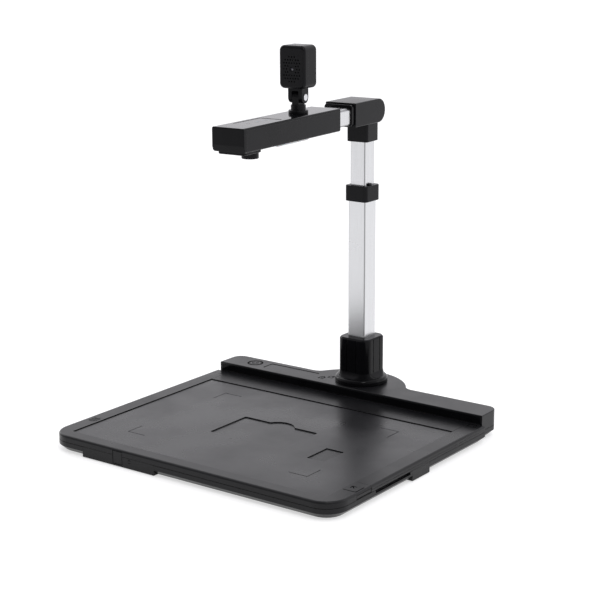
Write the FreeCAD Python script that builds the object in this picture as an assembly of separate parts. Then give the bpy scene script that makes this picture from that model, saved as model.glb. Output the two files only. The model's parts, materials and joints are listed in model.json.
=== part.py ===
"""Book scanner (document camera) with a flat scanning base, a telescopic mast, a folding and
extending camera arm and a small second camera on top of the arm.

Millimetres. Z is up, the front is -Y, and the origin is the middle of the footprint at the
height of the surface that the feet stand on.
"""
import math
import os

import FreeCAD
import Part

Vector = FreeCAD.Vector

# ---------------------------------------------------------------- driving dimensions
GAP = 0.3                   # assembly gap between neighbouring pieces
RUNNING_GAP = 0.06          # radial clearance of a pin in its bore
BOARD_THICKNESS = 1.6

# Base
BASE_WIDTH = 329.0
FRONT_Y = -160.0            # front wall of the base
BAR_FRONT_Y = 94.3          # front face of the raised rear bar
BAR_REAR_Y = 126.6          # straight rear wall of the bar
LOBE_RADIUS = 60.0          # round lobe behind the mast
LOBE_REAR_Y = 160.0
LOBE_BLEND = 12.0           # concave radius between lobe and bar
FRONT_CORNER = 22.0
REAR_CORNER = 11.0
BAR_INSET = 3.7             # the bar is this much narrower than the deck on each side
SHELL_Z = 0.8               # underside of the bottom shell; the feet stand this much lower
SHELL_FLOOR = 2.0
CHAMFER_TOP_Z = 6.0         # the underside chamfer runs from here down to the shell's underside
CHAMFER_IN = 5.8
SPLIT_Z = 11.0              # joint between bottom shell and the covers
SHADOW_GAP = 0.55           # step that shows as a dark line along that joint
DECK_Z = 17.0
DECK_CEILING_Z = 12.3       # underside of the deck's plate
BAR_Z = 26.2
BAR_ROOF = 2.4
WALL = 2.2
DECK_ROUND = 2.2            # rounding of the deck's upper edge
BAR_ROUND = 0.8             # rounding of the bar's upper edge
SCREW_XY = [(-140, -135), (140, -135), (-145, 20), (145, 20), (-145, 108), (145, 108)]
SCREW_LENGTH = 10.4
SCREW_HEAD_RADIUS = 2.6
SCREW_HEAD_HEIGHT = 1.6
SCREW_SHANK_RADIUS = 1.05
SCREW_HEAD_Z = 1.0
PILOT_RADIUS = 1.1          # screw holes in the covers' bosses
BOSS_RADIUS = 4.2
COVER_BOSS_RADIUS = 3.4
FOOT_XY = [(-128, -122), (128, -122), (-132, 88), (132, 88)]
FOOT_RADIUS = 8.0
FOOT_SINK = 0.8

# Scanning pad with its A5 frame and its recess for an ID-1 card
PAD_HALF_WIDTH = 147.35
PAD_FRONT_Y = -146.0
PAD_REAR_Y = 62.6
PAD_TOP_Z = 16.2
PAD_THICKNESS = 1.6
A5_WIDTH = 210.0
A5_HEIGHT = 148.0
A5_CENTRE_Y = -40.2
MARK_ARM = 20.0
MARK_WIDTH = 0.8
MARK_DEPTH = 0.3
CARD_WIDTH = 86.5
CARD_HEIGHT = 55.0
CARD_CENTRE_X = 1.6
CARD_REAR_Y = -14.1
CARD_DEPTH = 1.0
NOTCH_RADIUS = 17.0
NOTCH_CENTRE = (3.4, -23.1)
WINDOW_CENTRE = (85.9, -59.3)
WINDOW_SIZE = (19.2, 31.5)
WINDOW_THICKNESS = 0.8
WINDOW_FRAME = 2.0          # the deck's ledge that the window lies on
INDICATOR_XY = (-12.2, -74.6)
INDICATOR_RADIUS = 1.15

# Side rails on the deck
RAIL_FRONT_Y = -101.6
RAIL_REAR_Y = 82.4
RAIL_BOTTOM_Z = 13.3

# Push buttons and the blocks under the front and right-hand edges
BUTTON_GAP = 0.45
BUTTON_TRAVEL = 1.0
LATCH_X = -77.5
LATCH_WIDTH = 11.0
LATCH_Z = (2.8, 15.0)
LATCH_CAP = 3.0
MODULE_X = (-121.5, -33.2)
MODULE_DEPTH = 26.0
SIDE_BLOCK_Y = (-35.6, -6.6)
SIDE_BLOCK_DEPTH = 22.0
BLOCK_TOP_Z = 10.7
BLOCK_GAP = 0.2
SIDE_BUTTON_Y = -113.3
SIDE_BUTTON_LENGTH = 22.0
SIDE_BUTTON_Z = (11.6, 14.6)
SIDE_CAP = 3.6
POWER_XY = (-126.75, 111.4)
POWER_RADIUS = 6.2
POWER_CAP = 4.4
RING_RADIUS = 8.6
SWITCH_HALF = 3.0

# Card slot, rear connectors and what lies inside the base
SLOT_Y = (-95.0, -39.2)
SLOT_Z = (7.9, 10.9)
READER_LENGTH = 58.0
READER_Z = (6.4, 12.1)
REAR_PORT_Z = 17.5
REAR_PORTS = [(70.0, 9.4, 3.6), (92.0, 13.6, 6.2), (112.0, 13.6, 6.2)]   # x, width, height
PORT_WALL = 0.45
PORT_DEPTH = 12.0
STRIP_HALF_LENGTH = 158.4
STRIP_DEPTH = 1.0
STRIP_Z = (17.6, 24.3)
LABEL_X = (-110.5, -48.0)
LABEL_Y = (103.3, 119.6)
LABEL_DEPTH = 0.8
BALLAST_X = (-125.0, -50.0)
BALLAST_Y = (-110.0, 60.0)
BALLAST_THICKNESS = 5.0
MAIN_BOARD_X = (-40.0, 60.0)
MAIN_BOARD_Y = (-20.0, 70.0)
MAIN_BOARD_Z = 6.6
MAIN_CHIP = (-8.0, 14.0, 10.0, 32.0, 2.0)     # x and y limits, height
MEMORY_CHIP = (22.0, 36.0, 12.0, 24.0, 1.3)
PORT_BOARD_X = (58.0, 124.0)

# Mast
MAST_Y = 126.0
FOOT_PLATE_HALF = 28.0
FOOT_PLATE_TOP_Z = 6.0
SPIGOT_TOP_Z = 45.0
SOCKET_TOP_Z = 74.0
SOCKET_SIDE = 36.9
SOCKET_CORNER = 8.6
SOCKET_FLANGE_RADIUS = 27.0
FLANGE_HEIGHT = 6.4
FLARE_HEIGHT = 12.0         # the flare ends this far above the bar
GROOVE_AT = 5.6             # the socket's grooves lie this far from the middle of each side
GROOVE_WIDTH = 1.1
GROOVE_DEPTH = 0.7
LOWER_TUBE_SIDE = 20.4
LOWER_TUBE_WALL = 1.1
LOWER_TUBE_FOOT_Z = 9.0
UPPER_TUBE_SIDE = 17.8
UPPER_TUBE_WALL = 1.4
UPPER_TUBE_FOOT_Z = 106.0
TUBE_CORNER = 1.6
BORE_CORNER = 0.8
COLLAR_SIDE = 26.0
COLLAR_BOTTOM_Z = 214.3
COLLAR_TOP_Z = 230.3
COLLAR_SEAT = 4.0           # the collar reaches this far above the lower tube
CLAMP_SCREW_RADIUS = 2.2
NECK_BOTTOM_Z = 274.2
NECK_SIDE = 23.6
SPINDLE_RADIUS = 5.0
SPINDLE_LENGTH = 13.0

# Head: arm distances are measured forwards from the mast's axis
HEAD_TURN_DEG = 3.8
ELBOW_BOTTOM_Z = 293.0
ELBOW_TOP_Z = 316.4
ELBOW_FRONT = 42.2
ELBOW_WIDTH = 34.0
RIM_PROUD = 5.3             # the black frame round the tube stands this far out of the elbow
RIM_SINK = 1.5
RIM_HALF_WIDTH = 15.6
RIM_HALF_HEIGHT = 10.4
PIVOT_BACK = 4.0            # the fold pivot lies this far behind the mast's axis
LUG_HALF = 6.0
LUG_RADIUS = 8.6
FOLD_PIN_RADIUS = 3.0
FOLD_PIN_HALF = 14.6
ARM_REAR = 70.4
ARM_FRONT = 232.9
ARM_WIDTH = 34.0
ARM_BOTTOM_Z = 293.0
ARM_TOP_Z = 314.7
ARM_WALL = 1.6
ARM_LID = 2.0
ARM_ROUND = 1.6
CHIN = 6.0                  # height of the bevel under the arm's front
CHIN_IN = 2.4
FRONT_CAP = 5.0
ARM_TUBE_WIDTH = 28.0
ARM_TUBE_HEIGHT = 16.8
ARM_TUBE_WALL = 1.3
ARM_TUBE_CORNER = 3.0
ARM_TUBE_REAR = 22.0
ARM_TUBE_FRONT = 166.0
GLIDE_LENGTH = 12.8
TOUCH_AT = (164.0, 208.0)
TOUCH_HALF = 12.0
TOUCH_DEPTH = 1.2

# Main camera and reading light under the arm
LENS_AT = 198.5
LENS_BARREL_RADIUS = 6.5
LENS_RADIUS = 5.2
BEZEL_AT = (200.0, 229.0)
BEZEL_HALF = 14.5
BEZEL_DROP = 2.6
HOOD_RADIUS = 7.8
HOOD_DROP = 9.6
LED_AT = 133.0
LED_BOARD_HALF = 19.0
DIFFUSER_HALF = 22.5
DIFFUSER_HALF_WIDTH = 9.4
DIFFUSER_RADIUS = 12.0
DIFFUSER_DROP = 4.8

# Second camera
AUX_AT = 118.5
AUX_PIVOT_Z = 329.6
AUX_WIDTH = 28.0
AUX_DEPTH = 22.0
AUX_BOTTOM_Z = 338.0
AUX_TOP_Z = 377.4
AUX_CORNER = 5.0
AUX_EDGE = 2.6
AUX_WALL = 1.8
AUX_FRONT_DEPTH = 6.5       # thickness of the front half of the body
AUX_LENS_RADIUS = 2.3
AUX_LENS_UP = -1.8          # the lens lies this far above the middle of the body
GRILLE_HALF_WIDTH = 9.4
GRILLE_HALF_HEIGHT = 13.2
GRILLE_PITCH = 2.8
GRILLE_HOLE = 0.75
AUX_FLANGE_RADIUS = 9.2
AUX_POST_RADIUS = 7.0
AUX_STEM_RADIUS = 3.2
AUX_CLIP_RADIUS = 5.4
AUX_CLIP_ROOM = 0.9
AUX_FORK_HALF = 7.6
AUX_TONGUE_HALF = 3.6
AUX_PIN_RADIUS = 1.5
AUX_EYE_RADIUS = 5.5
AUX_PIN_HEAD_RADIUS = 3.1
AUX_FLANGE_HEIGHT = 3.0
AUX_POST_HEIGHT = 7.6

HALF_WIDTH = BASE_WIDTH / 2
LOWER_TUBE_TOP_Z = COLLAR_TOP_Z - COLLAR_SEAT
PIVOT_Z = (ELBOW_BOTTOM_Z + ELBOW_TOP_Z) / 2
PIVOT_RADIUS = (ELBOW_TOP_Z - ELBOW_BOTTOM_Z) / 2
TUBE_Z = (ARM_BOTTOM_Z + ARM_WALL + ARM_TOP_Z - ARM_LID) / 2
AUX_MIDDLE_Z = (AUX_BOTTOM_Z + AUX_TOP_Z) / 2
AUX_SPLIT = AUX_AT + AUX_DEPTH / 2 - AUX_FRONT_DEPTH


# ---------------------------------------------------------------- shape helpers
def box(x0, x1, y0, y1, z0, z1):
    """Box between two corners."""
    return Part.makeBox(x1 - x0, y1 - y0, z1 - z0, Vector(x0, y0, z0))


def cylinder(radius, start, direction, length):
    """Cylinder from a start point along a direction."""
    return Part.makeCylinder(radius, length, Vector(*start), Vector(*direction))


def arc(centre_x, centre_y, radius, from_deg, to_deg, z):
    """Arc edge from one angle to another, either way round."""
    points = []
    for fraction in (0.0, 0.5, 1.0):
        angle = math.radians(from_deg + (to_deg - from_deg) * fraction)
        points.append(Vector(centre_x + radius * math.cos(angle),
                             centre_y + radius * math.sin(angle), z))
    return Part.Arc(*points).toShape()


def straight(start, end, z):
    """Straight edge between two plan points."""
    return Part.LineSegment(Vector(*start, z), Vector(*end, z)).toShape()


def joined(arcs):
    """Closed wire that joins arcs, in order, with straight edges."""
    edges = []
    for index, edge in enumerate(arcs):
        following = arcs[(index + 1) % len(arcs)]
        end = edge.lastVertex().Point
        start = following.firstVertex().Point
        edges.append(edge)
        if end.distanceToPoint(start) > 1e-6:
            edges.append(Part.LineSegment(end, start).toShape())
    return Part.Wire(edges)


def rounded_wire(x0, x1, y0, y1, radius, z):
    """Rectangle with four equal round corners."""
    return joined([
        arc(x0 + radius, y0 + radius, radius, 180, 270, z),
        arc(x1 - radius, y0 + radius, radius, 270, 360, z),
        arc(x1 - radius, y1 - radius, radius, 0, 90, z),
        arc(x0 + radius, y1 - radius, radius, 90, 180, z),
    ])


def rounded_block(x0, x1, y0, y1, z0, z1, radius):
    """Upright block with round vertical corners."""
    face = Part.Face(rounded_wire(x0, x1, y0, y1, radius, z0))
    return face.extrude(Vector(0, 0, z1 - z0))


def square_post(side, radius, z0, z1):
    """Upright rounded-square post on the mast's axis."""
    half = side / 2
    return rounded_block(-half, half, MAST_Y - half, MAST_Y + half, z0, z1, radius)


def edges_on(shape, height):
    """Edges that lie in one horizontal plane."""
    found = []
    for edge in shape.Edges:
        bounds = edge.BoundBox
        if abs(bounds.ZMin - height) < 1e-4 and abs(bounds.ZMax - height) < 1e-4:
            found.append(edge)
    return found


def fillet_at(shape, height, radius):
    """Round every edge that lies in one horizontal plane."""
    return shape.makeFillet(radius, edges_on(shape, height))


def upright_edges(shape):
    """Straight vertical edges."""
    found = []
    for edge in shape.Edges:
        bounds = edge.BoundBox
        if bounds.XLength < 1e-4 and bounds.YLength < 1e-4:
            found.append(edge)
    return found


def save(name, shape):
    """Write one node as one STEP file."""
    shape.exportStep(os.path.join("parts", name + ".step"))


def save_group(name, shapes):
    """Write identical pieces as separate solids of one node."""
    save(name, Part.makeCompound(shapes))


def base_screw(x, y):
    """Screw that comes up from below, with a cross recess in its flat head."""
    z = SCREW_HEAD_Z
    head = cylinder(SCREW_HEAD_RADIUS, (x, y, z), (0, 0, 1), SCREW_HEAD_HEIGHT)
    shank = cylinder(SCREW_SHANK_RADIUS, (x, y, z), (0, 0, 1), SCREW_LENGTH)
    long_half = SCREW_HEAD_RADIUS * 0.6
    short_half = SCREW_HEAD_RADIUS * 0.14
    depth = SCREW_HEAD_HEIGHT / 2
    across = box(x - long_half, x + long_half, y - short_half, y + short_half, z, z + depth)
    upward = box(x - short_half, x + short_half, y - long_half, y + long_half, z, z + depth)
    return head.fuse(shank).cut(across.fuse(upward))


def cross_box(x, y, half_x, half_y, z0, z1):
    """Box centred on a plan point."""
    return box(x - half_x, x + half_x, y - half_y, y + half_y, z0, z1)


# ---------------------------------------------------------------- base outline
def base_wire(inset, z):
    """Footprint of the base, moved inwards by an inset: four corners and the rear lobe."""
    lobe_y = LOBE_REAR_Y - LOBE_RADIUS
    blend_y = BAR_REAR_Y + LOBE_BLEND
    reach = LOBE_RADIUS + LOBE_BLEND
    blend_x = math.sqrt(reach ** 2 - (blend_y - lobe_y) ** 2)
    touch = math.degrees(math.atan2(blend_y - lobe_y, blend_x))
    front = FRONT_CORNER - inset
    rear = REAR_CORNER - inset
    blend = LOBE_BLEND + inset
    x_front = HALF_WIDTH - FRONT_CORNER
    x_rear = HALF_WIDTH - BAR_INSET - REAR_CORNER
    y_front = FRONT_Y + FRONT_CORNER
    y_rear = BAR_REAR_Y - REAR_CORNER
    step_y = BAR_FRONT_Y - inset
    deck_x = HALF_WIDTH - inset
    bar_x = deck_x - BAR_INSET
    return joined([
        arc(-x_front, y_front, front, 180, 270, z),
        arc(x_front, y_front, front, 270, 360, z),
        straight((deck_x, step_y), (bar_x, step_y), z),
        arc(x_rear, y_rear, rear, 0, 90, z),
        arc(blend_x, blend_y, blend, 270, 180 + touch, z),
        arc(0, lobe_y, LOBE_RADIUS - inset, touch, 180 - touch, z),
        arc(-blend_x, blend_y, blend, -touch, -90, z),
        arc(-x_rear, y_rear, rear, 90, 180, z),
        straight((-bar_x, step_y), (-deck_x, step_y), z),
    ])


def base_prism(inset, z0, z1):
    """Upright solid on the base's footprint."""
    return Part.Face(base_wire(inset, z0)).extrude(Vector(0, 0, z1 - z0))


# ---------------------------------------------------------------- base features
def latch_pocket(gap):
    """Room in the front wall for the release button."""
    half = LATCH_WIDTH / 2 + gap
    return box(LATCH_X - half, LATCH_X + half, FRONT_Y - 1, FRONT_Y + 7,
               LATCH_Z[0] - gap, LATCH_Z[1] + gap)


def side_button_pocket(gap):
    """Room in the right wall for the side button."""
    half = SIDE_BUTTON_LENGTH / 2 + gap
    return box(HALF_WIDTH - 6, HALF_WIDTH + 1, SIDE_BUTTON_Y - half, SIDE_BUTTON_Y + half,
               SIDE_BUTTON_Z[0] - gap, SIDE_BUTTON_Z[1] + gap)


def card_slot():
    """Slot in the right wall that a smart card is pushed into."""
    return box(HALF_WIDTH - 12, HALF_WIDTH + 1, SLOT_Y[0], SLOT_Y[1], SLOT_Z[0], SLOT_Z[1])


def rear_port_cut(x, width, height):
    """Opening for a rear connector."""
    return box(x - width / 2, x + width / 2, BAR_REAR_Y - 4, BAR_REAR_Y + 1,
               REAR_PORT_Z - height / 2, REAR_PORT_Z + height / 2)


def module_region(gap, top_z):
    """Room under the front edge for the block with the release button."""
    return box(MODULE_X[0] - gap, MODULE_X[1] + gap, FRONT_Y - 1, FRONT_Y + MODULE_DEPTH + gap,
               -1, top_z)


def side_block_region(gap, top_z):
    """Room under the right-hand edge for the side block."""
    return box(HALF_WIDTH - SIDE_BLOCK_DEPTH - gap, HALF_WIDTH + 1, SIDE_BLOCK_Y[0] - gap,
               SIDE_BLOCK_Y[1] + gap, -1, top_z)


def shell_blank():
    """Outside of the bottom shell: upright wall above a chamfer."""
    blank = base_prism(0, SHELL_Z, SPLIT_Z)
    height = CHAMFER_TOP_Z - SHELL_Z
    return blank.makeChamfer(height, CHAMFER_IN, edges_on(blank, SHELL_Z))


def shadow_notch():
    """Step all round the upper outside edge of the bottom shell."""
    z0 = SPLIT_Z - SHADOW_GAP
    return base_prism(-1, z0, SPLIT_Z + 1).cut(base_prism(SHADOW_GAP, z0, SPLIT_Z + 1))


def bottom_shell():
    """Tray that everything is screwed into."""
    floor_z = SHELL_Z + SHELL_FLOOR
    inner = base_prism(WALL, CHAMFER_TOP_Z, SPLIT_Z)
    inner = inner.fuse(base_prism(CHAMFER_IN + WALL, floor_z, CHAMFER_TOP_Z))
    shell = shell_blank().cut(shadow_notch()).cut(inner)
    for x, y in SCREW_XY:
        boss = cylinder(BOSS_RADIUS, (x, y, SHELL_Z + 1), (0, 0, 1), SPLIT_Z - SHELL_Z - 1)
        shell = shell.fuse(boss)
    for x, y in SCREW_XY:
        shell = shell.cut(cylinder(SCREW_SHANK_RADIUS + 0.4, (x, y, 0), (0, 0, 1), SPLIT_Z + 1))
        shell = shell.cut(cylinder(SCREW_HEAD_RADIUS + 0.2, (x, y, 0), (0, 0, 1), floor_z))
    for x, y in FOOT_XY:
        sink = cylinder(FOOT_RADIUS + 0.1, (x, y, 0), (0, 0, 1), SHELL_Z + FOOT_SINK)
        shell = shell.cut(sink)
    shell = shell.cut(module_region(BLOCK_GAP, SPLIT_Z + 1))
    shell = shell.cut(side_block_region(BLOCK_GAP, SPLIT_Z + 1))
    return shell.cut(card_slot())


def covers_blank():
    """Outer shape of the deck's cover, carried on to the rear wall at the deck's height."""
    return fillet_at(base_prism(0, SPLIT_Z, DECK_Z), DECK_Z, DECK_ROUND)


def card_outline(depth_z, top_z):
    """Card recess with a half-round finger notch behind it."""
    x0 = CARD_CENTRE_X - CARD_WIDTH / 2
    x1 = CARD_CENTRE_X + CARD_WIDTH / 2
    recess = rounded_block(x0, x1, CARD_REAR_Y - CARD_HEIGHT, CARD_REAR_Y, depth_z, top_z, 2.0)
    notch = cylinder(NOTCH_RADIUS, (*NOTCH_CENTRE, depth_z), (0, 0, 1), top_z - depth_z)
    return recess.fuse(notch)


def rail_region(side, gap):
    """Block of deck that the rail on one side takes up."""
    x_inner = PAD_HALF_WIDTH - gap
    x_outer = HALF_WIDTH + 1
    low, high = (x_inner, x_outer) if side > 0 else (-x_outer, -x_inner)
    return box(low, high, RAIL_FRONT_Y - gap, RAIL_REAR_Y + gap, RAIL_BOTTOM_Z - gap, DECK_Z + 1)


def top_deck():
    """Cover plate with the pad's recess, rail seats and the window for the sensor."""
    deck = covers_blank().common(box(-200, 200, -200, BAR_FRONT_Y - GAP / 2, 0, 60))
    inside = base_prism(WALL, SPLIT_Z, DECK_CEILING_Z)
    inside = inside.common(box(-200, 200, -200, BAR_FRONT_Y - 2, 0, 60))
    deck = deck.cut(inside)
    recess = rounded_block(-PAD_HALF_WIDTH, PAD_HALF_WIDTH, PAD_FRONT_Y, PAD_REAR_Y,
                           PAD_TOP_Z - PAD_THICKNESS, DECK_Z + 1, 1.0)
    deck = deck.cut(recess)
    for side in (-1, 1):
        deck = deck.cut(rail_region(side, GAP / 2))
    for x, y in SCREW_XY:
        if y < BAR_FRONT_Y:
            boss = cylinder(COVER_BOSS_RADIUS, (x, y, SPLIT_Z), (0, 0, 1),
                            DECK_CEILING_Z - SPLIT_Z)
            pilot = cylinder(PILOT_RADIUS, (x, y, SPLIT_Z - 1), (0, 0, 1), 2.8)
            deck = deck.fuse(boss).cut(pilot)
    deck = deck.cut(latch_pocket(BUTTON_GAP))
    deck = deck.cut(side_button_pocket(BUTTON_GAP))
    return deck.cut(window_block(WINDOW_FRAME, SPLIT_Z - 1, DECK_Z + 1))


def side_rail(side):
    """Strip along one edge of the deck, flush with it."""
    return covers_blank().common(rail_region(side, -GAP / 2))


def window_block(inset, z0, z1):
    """Block on the fingerprint window's plan, moved inwards by an inset."""
    width, depth = WINDOW_SIZE
    return cross_box(*WINDOW_CENTRE, width / 2 - inset, depth / 2 - inset, z0, z1)


def document_pad():
    """Soft-touch sheet that the page lies on: frame marks, card recess and sensor window."""
    bottom = PAD_TOP_Z - PAD_THICKNESS
    pad = rounded_block(-PAD_HALF_WIDTH + GAP, PAD_HALF_WIDTH - GAP, PAD_FRONT_Y + GAP,
                        PAD_REAR_Y - GAP, bottom, PAD_TOP_Z, 1.0)
    pad = pad.cut(card_outline(PAD_TOP_Z - CARD_DEPTH, PAD_TOP_Z + 1))
    pad = pad.cut(window_block(0, bottom - 1, PAD_TOP_Z + 1))
    pad = pad.cut(cylinder(INDICATOR_RADIUS + RUNNING_GAP, (*INDICATOR_XY, 0), (0, 0, 1), DECK_Z))
    for mark in frame_marks():
        pad = pad.cut(mark)
    return pad


def frame_marks():
    """L-shaped marks at the four corners of the A5 frame."""
    marks = []
    half = MARK_WIDTH / 2
    for sx in (-1, 1):
        for sy in (-1, 1):
            x = sx * A5_WIDTH / 2
            y = A5_CENTRE_Y + sy * A5_HEIGHT / 2
            x_end = x - sx * MARK_ARM
            y_end = y - sy * MARK_ARM
            z0 = PAD_TOP_Z - MARK_DEPTH
            marks.append(box(min(x, x_end) - half, max(x, x_end) + half, y - half, y + half,
                             z0, PAD_TOP_Z + 1))
            marks.append(box(x - half, x + half, min(y, y_end) - half, max(y, y_end) + half,
                             z0, PAD_TOP_Z + 1))
    return marks


def bar_cover():
    """Raised rear bar with the lobe that carries the mast."""
    rear_half = box(-200, 200, BAR_FRONT_Y + GAP / 2, 200, 0, 60)
    cover = base_prism(0, SPLIT_Z, BAR_Z).common(rear_half)
    cover = fillet_at(cover, BAR_Z, BAR_ROUND)
    inside = base_prism(WALL, SPLIT_Z, BAR_Z - BAR_ROOF)
    inside = inside.common(box(-200, 200, BAR_FRONT_Y + BAR_ROOF, 200, 0, 60))
    cover = cover.cut(inside)
    for x, y in SCREW_XY:
        if y > BAR_FRONT_Y:
            boss = cylinder(COVER_BOSS_RADIUS, (x, y, SPLIT_Z), (0, 0, 1),
                            BAR_Z - BAR_ROOF - SPLIT_Z)
            pilot = cylinder(PILOT_RADIUS, (x, y, SPLIT_Z - 1), (0, 0, 1), SCREW_LENGTH - 1)
            cover = cover.fuse(boss).cut(pilot)
    cover = cover.cut(strip_room())
    cover = cover.cut(square_post(LOWER_TUBE_SIDE + 1.2, TUBE_CORNER, 0, BAR_Z + 1))
    cover = cover.cut(cylinder(RING_RADIUS + 0.1, (*POWER_XY, 0), (0, 0, 1), BAR_Z + 1))
    cover = cover.cut(label_block(0, BAR_Z - LABEL_DEPTH, BAR_Z + 1))
    for x, width, height in REAR_PORTS:
        cover = cover.cut(rear_port_cut(x, width, height))
    return cover


def strip_room():
    """Shallow channel in the bar's front face."""
    return box(-STRIP_HALF_LENGTH, STRIP_HALF_LENGTH, BAR_FRONT_Y - 1,
               BAR_FRONT_Y + GAP / 2 + STRIP_DEPTH, STRIP_Z[0], STRIP_Z[1])


def front_strip():
    """Dark strip in the channel, flush with the bar's front face."""
    side = 0.05
    return box(-STRIP_HALF_LENGTH + side, STRIP_HALF_LENGTH - side, BAR_FRONT_Y + GAP / 2,
               BAR_FRONT_Y + GAP / 2 + STRIP_DEPTH, STRIP_Z[0] + side, STRIP_Z[1] - side)


def label_block(gap, z0, z1):
    """Plan of the blank plate on the bar, moved inwards by a gap."""
    return rounded_block(LABEL_X[0] + gap, LABEL_X[1] - gap, LABEL_Y[0] + gap, LABEL_Y[1] - gap,
                         z0, z1, 1.5)


def socket_grooves():
    """Two fine upright grooves in each side of the socket."""
    half = SOCKET_SIDE / 2
    z0 = BAR_Z + FLARE_HEIGHT
    grooves = []
    for offset in (-GROOVE_AT, GROOVE_AT):
        for side in (-1, 1):
            face = side * half
            grooves.append(cross_box(offset, MAST_Y + face, GROOVE_WIDTH / 2, GROOVE_DEPTH,
                                     z0, SOCKET_TOP_Z + 1))
            grooves.append(cross_box(face, MAST_Y + offset, GROOVE_DEPTH, GROOVE_WIDTH / 2,
                                     z0, SOCKET_TOP_Z + 1))
    return Part.makeCompound(grooves)


def mast_socket():
    """Moulded socket of the mast: domed round flange running up into a rounded square."""
    top_z = BAR_Z + FLANGE_HEIGHT
    flange = cylinder(SOCKET_FLANGE_RADIUS, (0, MAST_Y, BAR_Z), (0, 0, 1), FLANGE_HEIGHT)
    flange = fillet_at(flange, top_z, FLANGE_HEIGHT / 2)
    flange = fillet_at(flange, BAR_Z, 0.8)
    sections = [
        (top_z - 1.0, 46.4, 21.6),
        (top_z + 0.8, 43.4, 17.4),
        (top_z + 2.6, 39.8, 12.2),
        (BAR_Z + FLARE_HEIGHT, SOCKET_SIDE, SOCKET_CORNER),
    ]
    wires = []
    for z, side, radius in sections:
        half = side / 2
        wires.append(rounded_wire(-half, half, MAST_Y - half, MAST_Y + half, radius, z))
    flare = Part.makeLoft(wires, True, False)
    shaft = square_post(SOCKET_SIDE, SOCKET_CORNER, BAR_Z + FLARE_HEIGHT, SOCKET_TOP_Z)
    shaft = shaft.makeChamfer(1.6, edges_on(shaft, SOCKET_TOP_Z))
    body = flange.fuse(flare).fuse(shaft).cut(socket_grooves())
    return body.cut(square_post(LOWER_TUBE_SIDE + 0.2, TUBE_CORNER, BAR_Z - 1, SOCKET_TOP_Z + 1))


# ---------------------------------------------------------------- mast
def lower_tube():
    """Square aluminium tube of the mast, standing in its socket."""
    outer = square_post(LOWER_TUBE_SIDE, TUBE_CORNER, LOWER_TUBE_FOOT_Z, LOWER_TUBE_TOP_Z)
    inner = square_post(LOWER_TUBE_SIDE - 2 * LOWER_TUBE_WALL, BORE_CORNER, 0, COLLAR_TOP_Z)
    return outer.cut(inner)


def mast_foot_plate():
    """Steel plate under the bar with a square spigot that the lower tube is pushed onto."""
    plate = rounded_block(-FOOT_PLATE_HALF, FOOT_PLATE_HALF, BAR_FRONT_Y - 8, MAST_Y + 12,
                          SHELL_Z + SHELL_FLOOR + 0.1, FOOT_PLATE_TOP_Z, 6)
    side = LOWER_TUBE_SIDE - 2 * LOWER_TUBE_WALL - 0.1
    spigot = square_post(side, BORE_CORNER, FOOT_PLATE_TOP_Z, SPIGOT_TOP_Z)
    bore = square_post(side - 5, BORE_CORNER, FOOT_PLATE_TOP_Z, SPIGOT_TOP_Z)
    return plate.fuse(spigot.cut(bore))


def collar():
    """Guide collar on top of the lower tube."""
    body = square_post(COLLAR_SIDE, 4.0, COLLAR_BOTTOM_Z, COLLAR_TOP_Z)
    body = body.makeFillet(0.8, edges_on(body, COLLAR_TOP_Z) + edges_on(body, COLLAR_BOTTOM_Z))
    body = body.cut(square_post(LOWER_TUBE_SIDE + 0.1, TUBE_CORNER, 0, LOWER_TUBE_TOP_Z))
    body = body.cut(square_post(UPPER_TUBE_SIDE + 0.5, TUBE_CORNER, 0, COLLAR_TOP_Z + 1))
    return body.cut(clamp_screw_shape(0.1))


def clamp_screw_z():
    """Height of the clamp screw's axis."""
    return (COLLAR_BOTTOM_Z + COLLAR_TOP_Z) / 2 - 2


def clamp_screw_shape(gap):
    """Clamp screw in the collar's right-hand side."""
    x0 = LOWER_TUBE_SIDE / 2 + 0.1
    return cylinder(CLAMP_SCREW_RADIUS + gap, (x0 - gap, MAST_Y, clamp_screw_z()),
                    (1, 0, 0), COLLAR_SIDE / 2 - x0 - 0.4 + 2 * gap)


def collar_screw():
    """Hexagon-socket clamp screw, sunk just below the collar's face."""
    key_radius = CLAMP_SCREW_RADIUS / 2
    polygon = []
    for corner in range(7):
        angle = math.radians(60 * corner)
        polygon.append(Vector(COLLAR_SIDE / 2 - 1.5, MAST_Y + key_radius * math.cos(angle),
                              clamp_screw_z() + key_radius * math.sin(angle)))
    key = Part.Face(Part.makePolygon(polygon)).extrude(Vector(3, 0, 0))
    return clamp_screw_shape(0.0).cut(key)


def collar_key():
    """Small latch tongue that stands out of the collar beside the upper tube."""
    half = UPPER_TUBE_SIDE / 2
    x0 = half + 0.35
    return box(x0, x0 + 1.6, MAST_Y - 3.4, MAST_Y + 0.6, COLLAR_TOP_Z, COLLAR_TOP_Z + 2.2)


def upper_tube():
    """Inner square tube that slides in the lower one."""
    outer = square_post(UPPER_TUBE_SIDE, TUBE_CORNER, UPPER_TUBE_FOOT_Z, NECK_BOTTOM_Z - GAP)
    inner = square_post(UPPER_TUBE_SIDE - 2 * UPPER_TUBE_WALL, BORE_CORNER, 0, NECK_BOTTOM_Z)
    return outer.cut(inner)


def mast_glide():
    """Plastic glide plugged into the foot of the upper tube."""
    z = UPPER_TUBE_FOOT_Z
    foot = square_post(UPPER_TUBE_SIDE + 0.1, TUBE_CORNER, z - 8, z)
    plug = square_post(UPPER_TUBE_SIDE - 2 * UPPER_TUBE_WALL - 0.1, BORE_CORNER, z, z + 14)
    return foot.fuse(plug).cut(cylinder(4.0, (0, MAST_Y, 0), (0, 0, 1), z + 20))


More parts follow.
